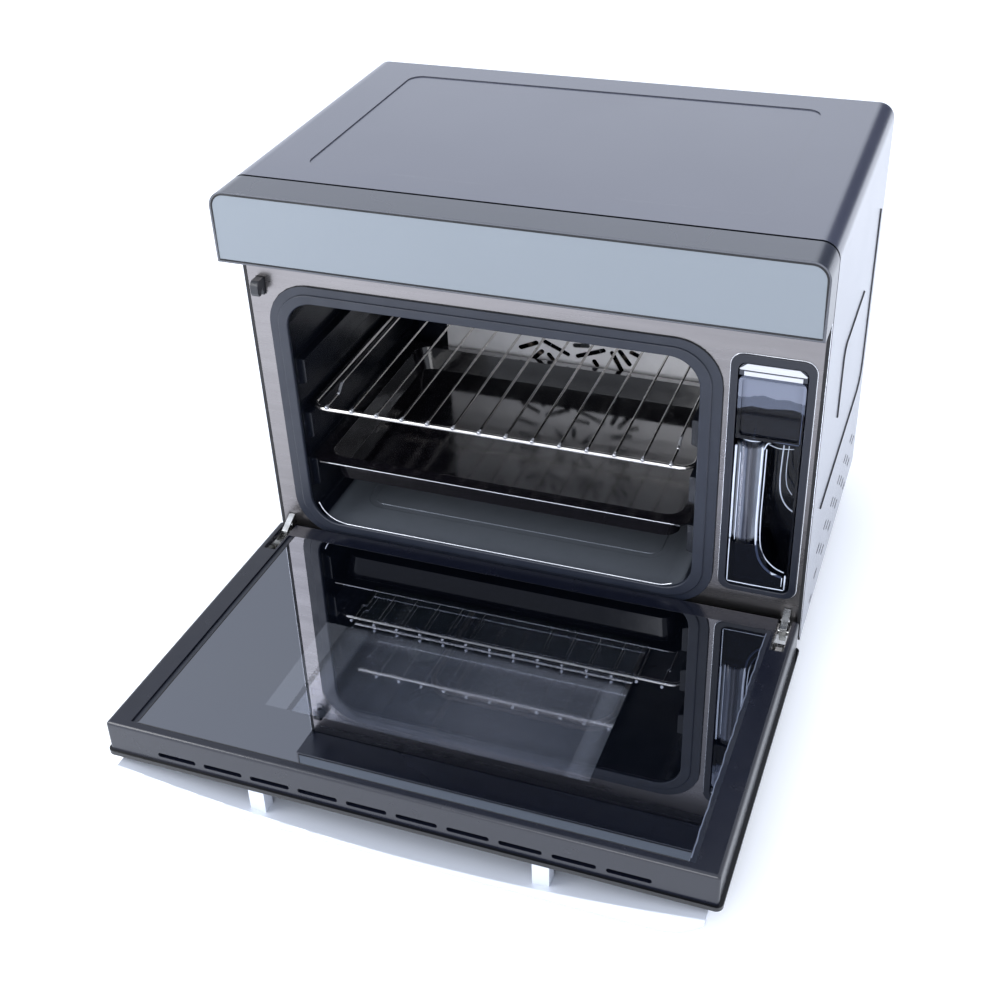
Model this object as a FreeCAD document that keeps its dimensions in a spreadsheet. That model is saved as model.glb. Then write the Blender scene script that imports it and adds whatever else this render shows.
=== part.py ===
import FreeCAD, Part
import Sketcher
import math
import os

V = FreeCAD.Vector
doc = FreeCAD.newDocument("mini_oven")
sheet = doc.addObject("Spreadsheet::Sheet", "dims")
sheet.Label = "dims"


# ---------------------------------------------------------------- sizes
class Q:
    """A size: its number and the sheet expression it comes from."""

    def __init__(self, v, e):
        self.v = float(v)
        self.e = e

    def __add__(self, o):
        o = q(o)
        return Q(self.v + o.v, "(%s + %s)" % (self.e, o.e))

    def __radd__(self, o):
        return q(o) + self

    def __sub__(self, o):
        o = q(o)
        return Q(self.v - o.v, "(%s - %s)" % (self.e, o.e))

    def __rsub__(self, o):
        return q(o) - self

    def __mul__(self, o):
        o = q(o)
        return Q(self.v * o.v, "(%s * %s)" % (self.e, o.e))

    def __rmul__(self, o):
        return q(o) * self

    def __truediv__(self, o):
        o = q(o)
        return Q(self.v / o.v, "(%s / %s)" % (self.e, o.e))

    def __neg__(self):
        return Q(-self.v, "(-1 * %s)" % self.e)


def q(x):
    if isinstance(x, Q):
        return x
    return Q(x, "(%.6f)" % float(x))


def qsqrt(x):
    x = q(x)
    return Q(math.sqrt(x.v), "sqrt(%s)" % x.e)


row = [0]


def dim(name, value, note=""):
    row[0] += 1
    n = row[0]
    sheet.set("A%d" % n, name)
    sheet.set("B%d" % n, repr(value))
    sheet.setAlias("B%d" % n, name)
    if note:
        sheet.set("C%d" % n, note)
    return Q(value, "dims." + name)


# cabinet
cab_w = dim("cab_w", 520.0, "cabinet width")
cab_h = dim("cab_h", 389.0, "side panel bottom edge to top")
cab_d = dim("cab_d", 308.0, "front panel plane to rear edge of the casing")
wrap_t = dim("wrap_t", 1.6, "casing sheet with its hem")
top_rad = dim("top_rad", 15.0, "outer radius of the casing's top corners")
foot_h = dim("foot_h", 33.0, "side panel bottom edge above the table")
y_mid = dim("y_mid", -8.0, "row origin's shift along Y from the front panel plane")
sheet_t = dim("sheet_t", 1.5, "front, base and rear sheet")
emb_x0 = dim("emb_x0", -204.9)
emb_x1 = dim("emb_x1", 199.4)
emb_y0 = dim("emb_y0", 35.2)
emb_y1 = dim("emb_y1", 274.5)
emb_r = dim("emb_r", 14.0)
emb_deep = dim("emb_deep", 0.9)
side_groove = dim("side_groove", 1.0)
# control head
head_d = dim("head_d", 37.0, "control head depth in front of the front panel")
head_z = dim("head_z", 323.7, "control head's lower edge")
head_t = dim("head_t", 2.0)
# cavity
cav_x0 = dim("cav_x0", -224.0)
cav_x1 = dim("cav_x1", 160.0)
cav_z0 = dim("cav_z0", 27.0)
cav_z1 = dim("cav_z1", 275.0)
cav_r = dim("cav_r", 28.0)
cav_d = dim("cav_d", 283.0, "front plane to the inside of the back wall")
cav_t = dim("cav_t", 0.8)
ins_t = dim("ins_t", 12.4)
guide_w = dim("guide_w", 9.0)
tray_z = dim("tray_z", 99.4, "underside of the tray's rim, top of its guides")
rack_z = dim("rack_z", 151.2, "underside of the rack, top of its guides")
guide_top = dim("guide_top", 209.0)
# fan
fan_x = dim("fan_x", -35.0)
fan_z = dim("fan_z", 160.0)
shaft_rad = dim("shaft_rad", 4.0)
shaft_gap = dim("shaft_gap", 0.05)
# gasket
gas_x0 = dim("gas_x0", -239.0)
gas_x1 = dim("gas_x1", 177.5)
gas_z0 = dim("gas_z0", 17.8)
gas_z1 = dim("gas_z1", 290.5)
gas_in_x0 = dim("gas_in_x0", -221.2)
gas_in_x1 = dim("gas_in_x1", 158.6)
gas_in_z0 = dim("gas_in_z0", 33.0)
gas_in_z1 = dim("gas_in_z1", 274.0)
gas_lip = dim("gas_lip", 3.2)
gas_base = dim("gas_base", 1.7)
# tank bay
bay_x0 = dim("bay_x0", 188.0)
bay_x1 = dim("bay_x1", 247.0)
bay_z0 = dim("bay_z0", 49.0)
bay_z1 = dim("bay_z1", 278.0)
bay_d = dim("bay_d", 250.0)
bay_t = dim("bay_t", 1.5)
tank_x0 = dim("tank_x0", 190.0)
tank_x1 = dim("tank_x1", 245.0)
tank_z0 = dim("tank_z0", 51.0)
tank_z1 = dim("tank_z1", 265.0)
tank_y0 = dim("tank_y0", -1.0)
tank_y1 = dim("tank_y1", 240.0)
tank_wall = dim("tank_wall", 2.0)
valve_x = dim("valve_x", 205.0)
valve_z = dim("valve_z", 62.0)
# door, measured from its pivot: x to the right, y towards the cabinet, z up
piv_y = dim("piv_y", -12.1, "door pivot in front of the front panel")
piv_z = dim("piv_z", 16.7, "door pivot above the casing's lower edge")
door_tilt = dim("door_tilt", 1.911, "how far above level the open door rests, in degrees")
door_hw = dim("door_hw", 259.0, "half width of the door frame")
door_top = dim("door_top", 8.5, "inner face above the pivot")
door_back = dim("door_back", -21.3)
door_out = dim("door_out", -26.0, "outer face of the outer panel")
door_hinge = dim("door_hinge", 7.0, "hinge end")
door_free = dim("door_free", -304.0, "free end of the frame")
panel_free = dim("panel_free", -306.3, "free end of the outer panel")
win_y0 = dim("win_y0", -296.2)
win_y1 = dim("win_y1", -13.2)
slot_x0 = dim("slot_x0", 240.8)
slot_x1 = dim("slot_x1", 253.2)
slot_y = dim("slot_y", -39.2)
pin_rad = dim("pin_rad", 2.5)
pin_gap = dim("pin_gap", 0.05)
post_x = dim("post_x", 122.0)
post_w = dim("post_w", 14.0)
bar_hw = dim("bar_hw", 251.0)
bar_y0 = dim("bar_y0", -312.2)
bar_y1 = dim("bar_y1", -278.2)
bar_in_mid = dim("bar_in_mid", -51.5, "handle bar's inner face, middle")
bar_in_end = dim("bar_in_end", -31.5)
bar_out_end = dim("bar_out_end", -38.5)
bar_out_mid = dim("bar_out_mid", -56.0)
bar_bend = dim("bar_bend", 39.0, "length over which the bar's end bends up")
# rack and tray
wire_rad = dim("wire_rad", 1.25)
rim_rad = dim("rim_rad", 2.25)
wire_pitch = dim("wire_pitch", 25.7)
tray_drop = dim("tray_drop", 25.4)
doc.recompute()

HALF = cab_w / 2


# ---------------------------------------------------------------- building helpers
def at_cabinet(obj):
    """Cabinet pieces are drawn from the front panel plane and the casing's lower edge."""
    obj.setExpression("Placement.Base.y", y_mid.e)
    obj.setExpression("Placement.Base.z", foot_h.e)


def at_door(obj):
    """Door pieces are drawn from the pivot, then tipped up to where the open door rests."""
    obj.Placement = FreeCAD.Placement(V(0, 0, 0), FreeCAD.Rotation(V(1, 0, 0), -door_tilt.v))
    obj.setExpression("Placement.Base.y", (y_mid + piv_y).e)
    obj.setExpression("Placement.Base.z", (foot_h + piv_z).e)


def new_body(name):
    b = doc.addObject("PartDesign::Body", name)
    b.Label = name
    return b


def sketch(body, role, off, ox=0, oy=0):
    sk = body.newObject("Sketcher::SketchObject", body.Name + "_sk")
    base = [f for f in body.Origin.OriginFeatures if f.Role == role][0]
    sk.AttachmentSupport = [(base, "")]
    sk.MapMode = "FlatFace"
    sk.setExpression("AttachmentOffset.Base.z", q(off).e)
    if q(ox).v or q(oy).v:
        sk.setExpression("AttachmentOffset.Base.x", q(ox).e)
        sk.setExpression("AttachmentOffset.Base.y", q(oy).e)
    return sk


def contour(sk, verts, arcs=None):
    """Closed outline. arcs maps edge i (vertex i to i + 1) to (radius, ccw)."""
    arcs = arcs or {}
    n = len(verts)
    vs = [(q(a), q(b)) for a, b in verts]
    geo = []
    ends = []
    for i in range(n):
        a = vs[i]
        b = vs[(i + 1) % n]
        ax, ay, bx, by = a[0].v, a[1].v, b[0].v, b[1].v
        if i in arcs:
            r = q(arcs[i][0]).v
            ccw = arcs[i][1]
            mx, my = (ax + bx) / 2, (ay + by) / 2
            dx, dy = bx - ax, by - ay
            c = math.hypot(dx, dy)
            hgt = math.sqrt(max(r * r - c * c / 4, 0.0))
            sgn = 1.0 if ccw else -1.0
            cx, cy = mx - sgn * dy / c * hgt, my + sgn * dx / c * hgt
            s, e = ((ax, ay), (bx, by)) if ccw else ((bx, by), (ax, ay))
            a0 = math.atan2(s[1] - cy, s[0] - cx)
            a1 = math.atan2(e[1] - cy, e[0] - cx)
            if a1 <= a0:
                a1 += 2 * math.pi
            geo.append(Part.ArcOfCircle(Part.Circle(V(cx, cy, 0), V(0, 0, 1), r), a0, a1))
            ends.append((1, 2) if ccw else (2, 1))
        else:
            geo.append(Part.LineSegment(V(ax, ay, 0), V(bx, by, 0)))
            ends.append((1, 2))
    g0 = sk.addGeometry(geo, False)[0]
    cons = []
    bind = []
    for i in range(n):
        j = (i + 1) % n
        cons.append(Sketcher.Constraint("Coincident", g0 + i, ends[i][1], g0 + j, ends[j][0]))
    for i in range(n):
        for k, kind, axis in ((0, "DistanceX", -2), (1, "DistanceY", -1)):
            val = vs[i][k]
            if abs(val.v) < 1e-9:
                cons.append(Sketcher.Constraint("PointOnObject", g0 + i, ends[i][0], axis))
            else:
                cons.append(Sketcher.Constraint(kind, g0 + i, ends[i][0], val.v))
                bind.append((len(cons) - 1, val.e))
        if i in arcs:
            r = q(arcs[i][0])
            cons.append(Sketcher.Constraint("Radius", g0 + i, r.v))
            bind.append((len(cons) - 1, r.e))
    c0 = sk.ConstraintCount
    sk.addConstraint(cons)
    for k, e in bind:
        if "dims." in e:
            sk.setExpression("Constraints[%d]" % (c0 + k), e)


def rr(sk, x0, x1, y0, y1, r):
    """Rounded rectangle."""
    x0, x1, y0, y1, r = q(x0), q(x1), q(y0), q(y1), q(r)
    if r.v <= 0:
        contour(sk, [(x0, y0), (x1, y0), (x1, y1), (x0, y1)])
        return
    v = [
        (x0 + r, y0), (x1 - r, y0), (x1, y0 + r), (x1, y1 - r),
        (x1 - r, y1), (x0 + r, y1), (x0, y1 - r), (x0, y0 + r),
    ]
    contour(sk, v, {1: (r, True), 3: (r, True), 5: (r, True), 7: (r, True)})


def circle(sk, x, y, r):
    x, y, r = q(x), q(y), q(r)
    g = sk.addGeometry(Part.Circle(V(x.v, y.v, 0), V(0, 0, 1), r.v), False)
    c0 = sk.ConstraintCount
    cons = [Sketcher.Constraint("Radius", g, r.v)]
    bind = [(0, r.e)]
    for val, kind, axis in ((x, "DistanceX", -2), (y, "DistanceY", -1)):
        if abs(val.v) < 1e-9:
            cons.append(Sketcher.Constraint("PointOnObject", g, 3, axis))
        else:
            cons.append(Sketcher.Constraint(kind, g, 3, val.v))
            bind.append((len(cons) - 1, val.e))
    sk.addConstraint(cons)
    for k, e in bind:
        if "dims." in e:
            sk.setExpression("Constraints[%d]" % (c0 + k), e)


PLANES = {"XY": "XY_Plane", "XZ": "XZ_Plane", "YZ": "YZ_Plane"}


def pad(body, plane, lo, hi, *shapes, ox=0, oy=0):
    """Adds material between lo and hi along the plane's third axis."""
    lo, hi = q(lo), q(hi)
    off = -hi if plane == "XZ" else lo
    sk = sketch(body, PLANES[plane], off, ox, oy)
    for f in shapes:
        f[0](sk, *f[1:])
    p = body.newObject("PartDesign::Pad", body.Name + "_pad")
    p.Profile = sk
    p.setExpression("Length", (hi - lo).e)
    body.Tip = p
    return p


def cut(body, plane, lo, hi, *shapes, ox=0, oy=0):
    """Takes material away between lo and hi along the plane's third axis."""
    lo, hi = q(lo), q(hi)
    off = -lo if plane == "XZ" else hi
    sk = sketch(body, PLANES[plane], off, ox, oy)
    for f in shapes:
        f[0](sk, *f[1:])
    p = body.newObject("PartDesign::Pocket", body.Name + "_cut")
    p.Profile = sk
    p.setExpression("Length", (hi - lo).e)
    body.Tip = p
    return p


def edges_where(shape, test):
    out = []
    for i, e in enumerate(shape.Edges):
        if test(e):
            out.append("Edge%d" % (i + 1))
    return out


def body_fillet(body, test, r, kind="Fillet"):
    doc.recompute()
    tip = body.Tip
    names = edges_where(tip.Shape, test)
    f = body.newObject("PartDesign::" + kind, body.Name + "_" + kind.lower())
    f.Base = (tip, names)
    f.setExpression("Radius" if kind == "Fillet" else "Size", q(r).e)
    body.Tip = f
    return f


def at_y(y):
    return lambda e: all(abs(v.Point.y - y) < 1e-4 for v in e.Vertexes) and abs(e.BoundBox.YLength) < 1e-3


def at_z(z):
    return lambda e: all(abs(v.Point.z - z) < 1e-4 for v in e.Vertexes) and abs(e.BoundBox.ZLength) < 1e-3


def pbox(name, x0, x1, y0, y1, z0, z1):
    o = doc.addObject("Part::Box", name)
    x0, x1, y0, y1, z0, z1 = [q(a) for a in (x0, x1, y0, y1, z0, z1)]
    o.setExpression("Length", (x1 - x0).e)
    o.setExpression("Width", (y1 - y0).e)
    o.setExpression("Height", (z1 - z0).e)
    o.setExpression("Placement.Base.x", x0.e)
    o.setExpression("Placement.Base.y", y0.e)
    o.setExpression("Placement.Base.z", z0.e)
    return o


ROT = {
    "X": FreeCAD.Rotation(V(0, 1, 0), 90),
    "Y": FreeCAD.Rotation(V(1, 0, 0), -90),
    "Z": FreeCAD.Rotation(),
}


def pcyl(name, axis, x, y, z, r, length, r2=None):
    o = doc.addObject("Part::Cylinder" if r2 is None else "Part::Cone", name)
    o.Placement = FreeCAD.Placement(V(0, 0, 0), ROT[axis])
    if r2 is None:
        o.setExpression("Radius", q(r).e)
    else:
        o.setExpression("Radius1", q(r).e)
        o.setExpression("Radius2", q(r2).e)
    o.setExpression("Height", q(length).e)
    o.setExpression("Placement.Base.x", q(x).e)
    o.setExpression("Placement.Base.y", q(y).e)
    o.setExpression("Placement.Base.z", q(z).e)
    return o


def psphere(name, x, y, z, r):
    o = doc.addObject("Part::Sphere", name)
    o.setExpression("Radius", q(r).e)
    o.setExpression("Placement.Base.x", q(x).e)
    o.setExpression("Placement.Base.y", q(y).e)
    o.setExpression("Placement.Base.z", q(z).e)
    return o


def pbend(name, x, y, z, big, small, start, normal="Z", sweep=90):
    """Part of a torus: a tube's bend. start is where it begins, in degrees."""
    o = doc.addObject("Part::Torus", name)
    turn = {
        "Z": FreeCAD.Rotation(),
        "Y": FreeCAD.Rotation(V(1, 0, 0), 90),
        "X": FreeCAD.Rotation(V(0, 1, 0), 90),
    }[normal]
    o.Placement = FreeCAD.Placement(V(0, 0, 0), turn.multiply(FreeCAD.Rotation(V(0, 0, 1), start)))
    o.setExpression("Radius1", q(big).e)
    o.setExpression("Radius2", q(small).e)
    o.Angle3 = sweep
    o.setExpression("Placement.Base.x", q(x).e)
    o.setExpression("Placement.Base.y", q(y).e)
    o.setExpression("Placement.Base.z", q(z).e)
    return o


def fuse(name, objs):
    if len(objs) == 1:
        return objs[0]
    o = doc.addObject("Part::MultiFuse", name)
    o.Shapes = objs
    return o


def minus(name, base, tools):
    o = doc.addObject("Part::Cut", name)
    o.Base = base
    o.Tool = tools[0] if len(tools) == 1 else group(name + "_tool", tools)
    return o


def group(name, objs):
    o = doc.addObject("Part::Compound", name)
    o.Links = objs
    return o


NODES = []


def done(name, obj, place=at_cabinet):
    if obj.TypeId in ("Part::Box", "Part::Cylinder", "Part::Torus"):
        obj = group(name, [obj])
    obj.Label = name
    place(obj)
    NODES.append((name, obj))
    return obj


# ================================================================ cabinet
# casing: top and two sides folded from one sheet
inner = HALF - wrap_t
b = new_body("casing_sheet")
r_in = top_rad - wrap_t
pad(b, "XZ", 0, cab_d, (contour, [
    (-HALF, 0), (-inner, 0), (-inner, cab_h - top_rad), (-HALF + top_rad, cab_h - wrap_t),
    (HALF - top_rad, cab_h - wrap_t), (inner, cab_h - top_rad), (inner, 0), (HALF, 0),
    (HALF, cab_h - top_rad), (HALF - top_rad, cab_h), (-HALF + top_rad, cab_h), (-HALF, cab_h - top_rad),
], {2: (r_in, False), 4: (r_in, False), 8: (top_rad, True), 10: (top_rad, True)}))
# shallow pressed field on the top
cut(b, "XY", cab_h - emb_deep, cab_h, (rr, emb_x0, emb_x1, emb_y0, emb_y1, emb_r))
# two pressed lines on each side
for sx in (1, -1):
    lo, hi = (HALF - 0.7, HALF) if sx > 0 else (-HALF, -HALF + 0.7)
    g = side_groove
    cut(b, "YZ", lo, hi,
        (contour, [(47, 113.5), (256, 113.5), (280.5, 138), (280.5, 298), (q(280.5) - g, 298),
                   (q(280.5) - g, 138), (256, q(113.5) + g), (47, q(113.5) + g)],
         {1: (24.5, True), 5: (q(24.5) - g, False)}),
        (contour, [(102.5, 175), (q(102.5) + g, 175), (q(102.5) + g, 232.5), (114.5, q(244.5) - g),
                   (215, q(244.5) - g), (215, 244.5), (114.5, 244.5), (102.5, 232.5)],
         {2: (q(12) - g, False), 6: (12, True)}))
vents = []
for sx in (1, -1):
    x0, x1 = (HALF - wrap_t - 1, HALF + 1) if sx > 0 else (-HALF - 1, -HALF + wrap_t + 1)
    for rz, ys in ((55.0, (60, 98, 137, 176, 215, 254)), (41.0, (79, 118, 157, 196, 235, 274)), (26.0, (60, 98, 137, 176, 215, 254))):
        for yv in ys:
            vents.append(pbox("vent", x0, x1, yv, yv + 15.0, rz - 1.1, rz + 1.1))
    for yv in (44.0, 236.0):
        vents.append(pbox("vent", x0, x1, yv, yv + 12.0, 8.0, 10.2))
done("cabinet_wrap", minus("casing", b, vents))

# base plate with holes for the feet's screws
b = new_body("base_plate")
pad(b, "XY", 2, q(2) + sheet_t, (contour, [(-inner, 2), (inner, 2), (inner, 306.5), (-inner, 306.5)]))
feet_at = [(-215, 36), (215, 36), (-215, 272), (215, 272)]
cut(b, "XY", 1, 5, *[(circle, fx, fy, 2.0) for fx, fy in feet_at])
done("base_plate", b)

feet = []
screws = []
for fx, fy in feet_at:
    cone = pcyl("foot_cone", "Z", fx, fy, -foot_h, 15.0, foot_h + 2, 19.0)
    bore = fuse("foot_bore", [pcyl("foot_well", "Z", fx, fy, -foot_h - 1, 6.0, foot_h - 4), pcyl("foot_hole", "Z", fx, fy, -foot_h, 2.2, foot_h + 4)])
    feet.append(minus("foot", cone, [bore]))
    head = pcyl("screw_head", "Z", fx, fy, -8, 4.0, 3.0)
    shank = pcyl("screw_shank", "Z", fx, fy, -6, 2.0, 14.0)
    screws.append(fuse("foot_screw", [head, shank]))
done("feet", group("feet", feet))
done("foot_screws", group("foot_screws", screws))

# rear panel, with the motor's hole, the cord's hole and air slots
b = new_body("rear_sheet")
topz = cab_h - wrap_t
pad(b, "XZ", 306.5, cab_d, (contour, [
    (-inner, 3.5), (inner, 3.5), (inner, cab_h - top_rad), (HALF - top_rad, topz), (-HALF + top_rad, topz), (-inner, cab_h - top_rad)],
    {2: (r_in, True), 4: (r_in, True)}))
rear_at = [(-246, 30), (246, 30), (-246, 200), (246, 200), (-236, 370), (236, 370)]
cover_at = [(-206, 90), (206, 90), (-206, 290), (206, 290)]
cut(b, "XZ", 305, 310, (circle, fan_x, fan_z, 40.0), (circle, 230.0, 60.0, 8.0),
    *[(circle, a, c, 1.9) for a, c in rear_at + cover_at])
air = [pbox("air", -150 + 24 * i, -136 + 24 * i, 305, 310, 356, 359) for i in range(13)]
done("rear_panel", minus("rear", b, air))

# pressed rear cover over the fan motor
b = new_body("rear_bump")
pad(b, "XZ", cab_d, 342, (rr, -200, 200, 40, 340, 16))
body_fillet(b, at_y(342.0), 8)
cut(b, "XZ", cab_d, 333.5, (rr, -198.5, 198.5, 41.5, 338.5, 14.5))
cut(b, "XZ", cab_d, 340.5, (rr, -191.5, 191.5, 48.5, 331.5, 7.5))
pad(b, "XZ", cab_d, 309.2, (rr, -212, 212, 28, 352, 18), (rr, -198.5, 198.5, 41.5, 338.5, 14.5))
cut(b, "XZ", 307, 310, *[(circle, a, c, 1.9) for a, c in cover_at])
air = []
for r_ in range(6):
    for i in range(6):
        air.append(pbox("air", -100 + 36 * i, -76 + 36 * i, 338, 344, 128 + 12 * r_, 132 + 12 * r_))
done("rear_cover", minus("rear_bump_cut", b, air))

heads = []
for i, (a, c) in enumerate(rear_at + cover_at):
    y0 = 308.0 if i < len(rear_at) else 309.2
    heads.append(fuse("rear_screw", [pcyl("head", "Y", a, y0, c, 3.8, 2.4), pcyl("shank", "Y", a, 300.0, c, 1.9, y0 - 299.0)]))
done("rear_screws", group("rear_screws", heads))

gl = fuse("gland_body", [pcyl("gl_flange", "Y", 230, 308, 60, 13, 3), pcyl("gl_neck", "Y", 230, 304, 60, 8, 5),
                         pcyl("gl_nut", "Y", 230, 302, 60, 11.5, 4.5), pcyl("gl_cone", "Y", 230, 310.5, 60, 10, 13, 7)])
done("cord_gland", minus("gland", gl, [pcyl("gl_bore", "Y", 230, 300, 60, 3.6, 30)]))

# front panel with its openings
b = new_body("front_panel")
pad(b, "XZ", 0, sheet_t, (contour, [
    (-inner, 2), (inner, 2), (inner, cab_h - top_rad), (HALF - top_rad, topz), (-HALF + top_rad, topz), (-inner, cab_h - top_rad)],
    {2: (r_in, True), 4: (r_in, True)}))
cut(b, "XZ", -1, 3, (rr, cav_x0, cav_x1, cav_z0, cav_z1, cav_r), (rr, bay_x0, bay_x1, bay_z0, bay_z1, 8),
    (rr, -248, -239.5, 277.5, 294.5, 0), (rr, 243.6, 250.4, 12, 34.5, 0), (rr, -250.4, -243.6, 12, 34.5, 0))
done("front_panel", b)

# ================================================================ control head
b = new_body("control_housing")
hin = HALF - head_t


def head_ring(d0, d1):
    o = q(d0)
    i = q(d1)
    return [(contour, [(-HALF + o, head_z + o), (HALF - o, head_z + o), (HALF - o, cab_h - top_rad), (HALF - top_rad, cab_h - o),
                       (-HALF + top_rad, cab_h - o), (-HALF + o, cab_h - top_rad)], {2: (top_rad - o, True), 4: (top_rad - o, True)}),
            (contour, [(-HALF + i, head_z + i), (HALF - i, head_z + i), (HALF - i, cab_h - top_rad), (HALF - top_rad, cab_h - i),
                       (-HALF + top_rad, cab_h - i), (-HALF + i, cab_h - top_rad)], {2: (top_rad - i, True), 4: (top_rad - i, True)})]


pad(b, "XZ", -head_d, -0.8, *head_ring(0, head_t))
pad(b, "XZ", -0.9, 0, *head_ring(1.2, head_t))
# bosses that carry the fascia and take it to the front panel
for bx in (-236, 236):
    pad(b, "XZ", -34, 0, (rr, bx - 6, bx + 6, 340, 352, 2))
    pad(b, "XZ", -3, 0, (rr, bx - 6, bx + 6, q(head_z) + 1.5, 345, 0))
done("control_housing", b)
b = new_body("control_fascia")
o = head_t
pad(b, "XZ", -head_d, -34, (contour, [
    (-HALF + o, head_z + o), (HALF - o, head_z + o), (HALF - o, cab_h - top_rad), (HALF - top_rad, cab_h - o),
    (-HALF + top_rad, cab_h - o), (-HALF + o, cab_h - top_rad)], {2: (top_rad - o, True), 4: (top_rad - o, True)}))
done("control_fascia", b)
done("display_board", fuse("display_board", [
    pbox("board", -180, 180, -26, -24.4, 336, 378), pbox("module", -60, 60, -34, -25, 342, 372),
    pbox("keys_left", -160, -90, -30, -25, 346, 366), pbox("keys_right", 90, 160, -30, -25, 346, 366),
    pbox("plug", -20, 20, -25, -14, 350, 362)]))

# ================================================================ cooking chamber
b = new_body("cavity_shell")
xo0, xo1, zo0, zo1, ro = cav_x0 - cav_t, cav_x1 + cav_t, cav_z0 - cav_t, cav_z1 + cav_t, cav_r + cav_t
pad(b, "XZ", sheet_t, cav_d + cav_t, (rr, xo0, xo1, zo0, zo1, ro))
cut(b, "XZ", sheet_t, cav_d, (rr, cav_x0, cav_x1, cav_z0, cav_z1, cav_r))
pad(b, "XZ", sheet_t, 2.7, (rr, cav_x0 - 12, cav_x1 + 12, cav_z0 - 11, cav_z1 + 11, cav_r + 10), (rr, cav_x0, cav_x1, cav_z0, cav_z1, cav_r))
gl0, gl1 = cav_x0 - 0.6, cav_x0 + guide_w
gr0, gr1 = cav_x1 + 0.6, cav_x1 - guide_w


def guide(z0, z1):
    z0, z1 = q(z0), q(z1)
    return [(contour, [(gl0, z0), (gl1, z0 + 4), (gl1, z1), (gl0, z1)]),
            (contour, [(gr0, z0), (gr0, z1), (gr1, z1), (gr1, z0 + 4)])]


pad(b, "XZ", 8, 248, *(guide(tray_z - 32, tray_z) + guide(rack_z - 30, rack_z) + guide(guide_top - 28, guide_top)))
# floor pressing
cut(b, "XY", cav_z0 - 0.5, cav_z0, (rr, -190, 123, 43, 240, 20), (rr, -183, 116, 50, 233, 13))
# holes: shaft, heater legs, probe, lamp, steam
cut(b, "XZ", cav_d - 1, cav_d + 3, (circle, fan_x, fan_z, 8), (circle, fan_x - 10, fan_z - 74.33, 3.3), (circle, fan_x + 10, fan_z - 74.33, 3.3),
    (circle, -140, 264, 3.55), (circle, 70, 264, 3.55), (circle, 130, 225, 2.5))
cut(b, "XY", cav_z1 - 0.5, cav_z1 + 3, (circle, -170, 120, 18))
cut(b, "YZ", cav_x1 - 0.5, cav_x1 + 3, (circle, 270, 225, 4))
done("cavity_shell", b)

b = new_body("cavity_gasket")
pad(b, "XZ", -gas_base, 0, (rr, gas_x0, gas_x1, gas_z0, gas_z1, 42), (rr, gas_in_x0, gas_in_x1, gas_in_z0, gas_in_z1, 28))
pad(b, "XZ", -gas_lip, 0, (rr, gas_x0 + 8, gas_x1 - 8.5, gas_z0 + 6.5, gas_z1 - 7.5, 35), (rr, gas_in_x0, gas_in_x1, gas_in_z0, gas_in_z1, 28))
body_fillet(b, at_y(-gas_lip.v), 1.3)
done("cavity_gasket", b)

# fan baffle: a shallow pan with a ring of slots in front of the fan
b = new_body("baffle_pan")
pad(b, "XZ", 254, 283, (rr, -178, 112, 62, 258, 20))
cut(b, "XZ", 255, 283, (rr, -177, 111, 63, 257, 19))
body_fillet(b, at_y(254.0), 0.9)
pk = cut(b, "XZ", 253, 256, (rr, 14, 30, -2.4, 2.4, 2.3), ox=fan_x, oy=fan_z)
doc.recompute()
pt = b.newObject("PartDesign::PolarPattern", "centre_slots")
pt.Originals = [pk]
pt.Axis = (pk.Profile[0], ["N_Axis"])
pt.Angle = 360
pt.Occurrences = 8
b.Tip = pt
# leaf pattern of long slots round the grille, the same above and below the fan's axis
leaf = [
    ((-93.3, 109.8), (-75.5, 118.0)), ((-65.2, 120.8), (-40.6, 109.6)), ((-79.0, 98.7), (-69.4, 108.6)), ((-61.4, 105.8), (-57.6, 100.9)),
    ((-32.0, 121.6), (-18.5, 123.0)), ((-29.2, 109.2), (-1.2, 120.1)), ((-11.0, 105.6), (-8.3, 101.5)), ((8.5, 118.6), (18.4, 99.9)),
    ((17.0, 121.5), (27.0, 108.2)), ((29.5, 122.3), (36.4, 119.6)), ((-99.0, 131.0), (-79.0, 136.0)), ((-97.0, 151.0), (-77.0, 152.0)),
    ((9.0, 136.0), (29.0, 131.0)), ((7.0, 152.0), (27.0, 151.0))]
outlets = []
for (xa, za), (xb, zb) in leaf:
    for up in (1.0, -1.0):
        z1, z2 = 160.0 + (za - 160.0) * up, 160.0 + (zb - 160.0) * up
        span = math.hypot(xb - xa, z2 - z1)
        rot = FreeCAD.Rotation(V(0, 1, 0), -math.degrees(math.atan2(z2 - z1, xb - xa)))
        off = rot.multVec(V(0, 0, -2.6))
        bar = doc.addObject("Part::Box", "slot_bar")
        bar.Length = span
        bar.Width = 3.0
        bar.Height = 5.2
        bar.Placement = FreeCAD.Placement(V(xa + off.x, 253.0, z1 + off.z), rot)
        outlets.append(fuse("slot", [bar, pcyl("slot_end", "Y", xa, 253, z1, 2.6, 3), pcyl("slot_end", "Y", xb, 253, z2, 2.6, 3)]))
for i in range(5):
    outlets.append(pbox("outlet", -180, -176, 260, 278, 84 + 30 * i, 102 + 30 * i))
    outlets.append(pbox("outlet", 110, 114, 260, 278, 84 + 30 * i, 102 + 30 * i))
done("fan_baffle", minus("baffle", b, outlets))

ring = pbend("ring", fan_x, 270, fan_z, 75, 3.2, 0, "Y", 360)
done("ring_heater", fuse("ring_heater", [
    ring, pcyl("leg_left", "Y", fan_x - 10, 270, fan_z - 74.33, 3.2, 34), pcyl("leg_right", "Y", fan_x + 10, 270, fan_z - 74.33, 3.2, 34)]))

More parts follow.
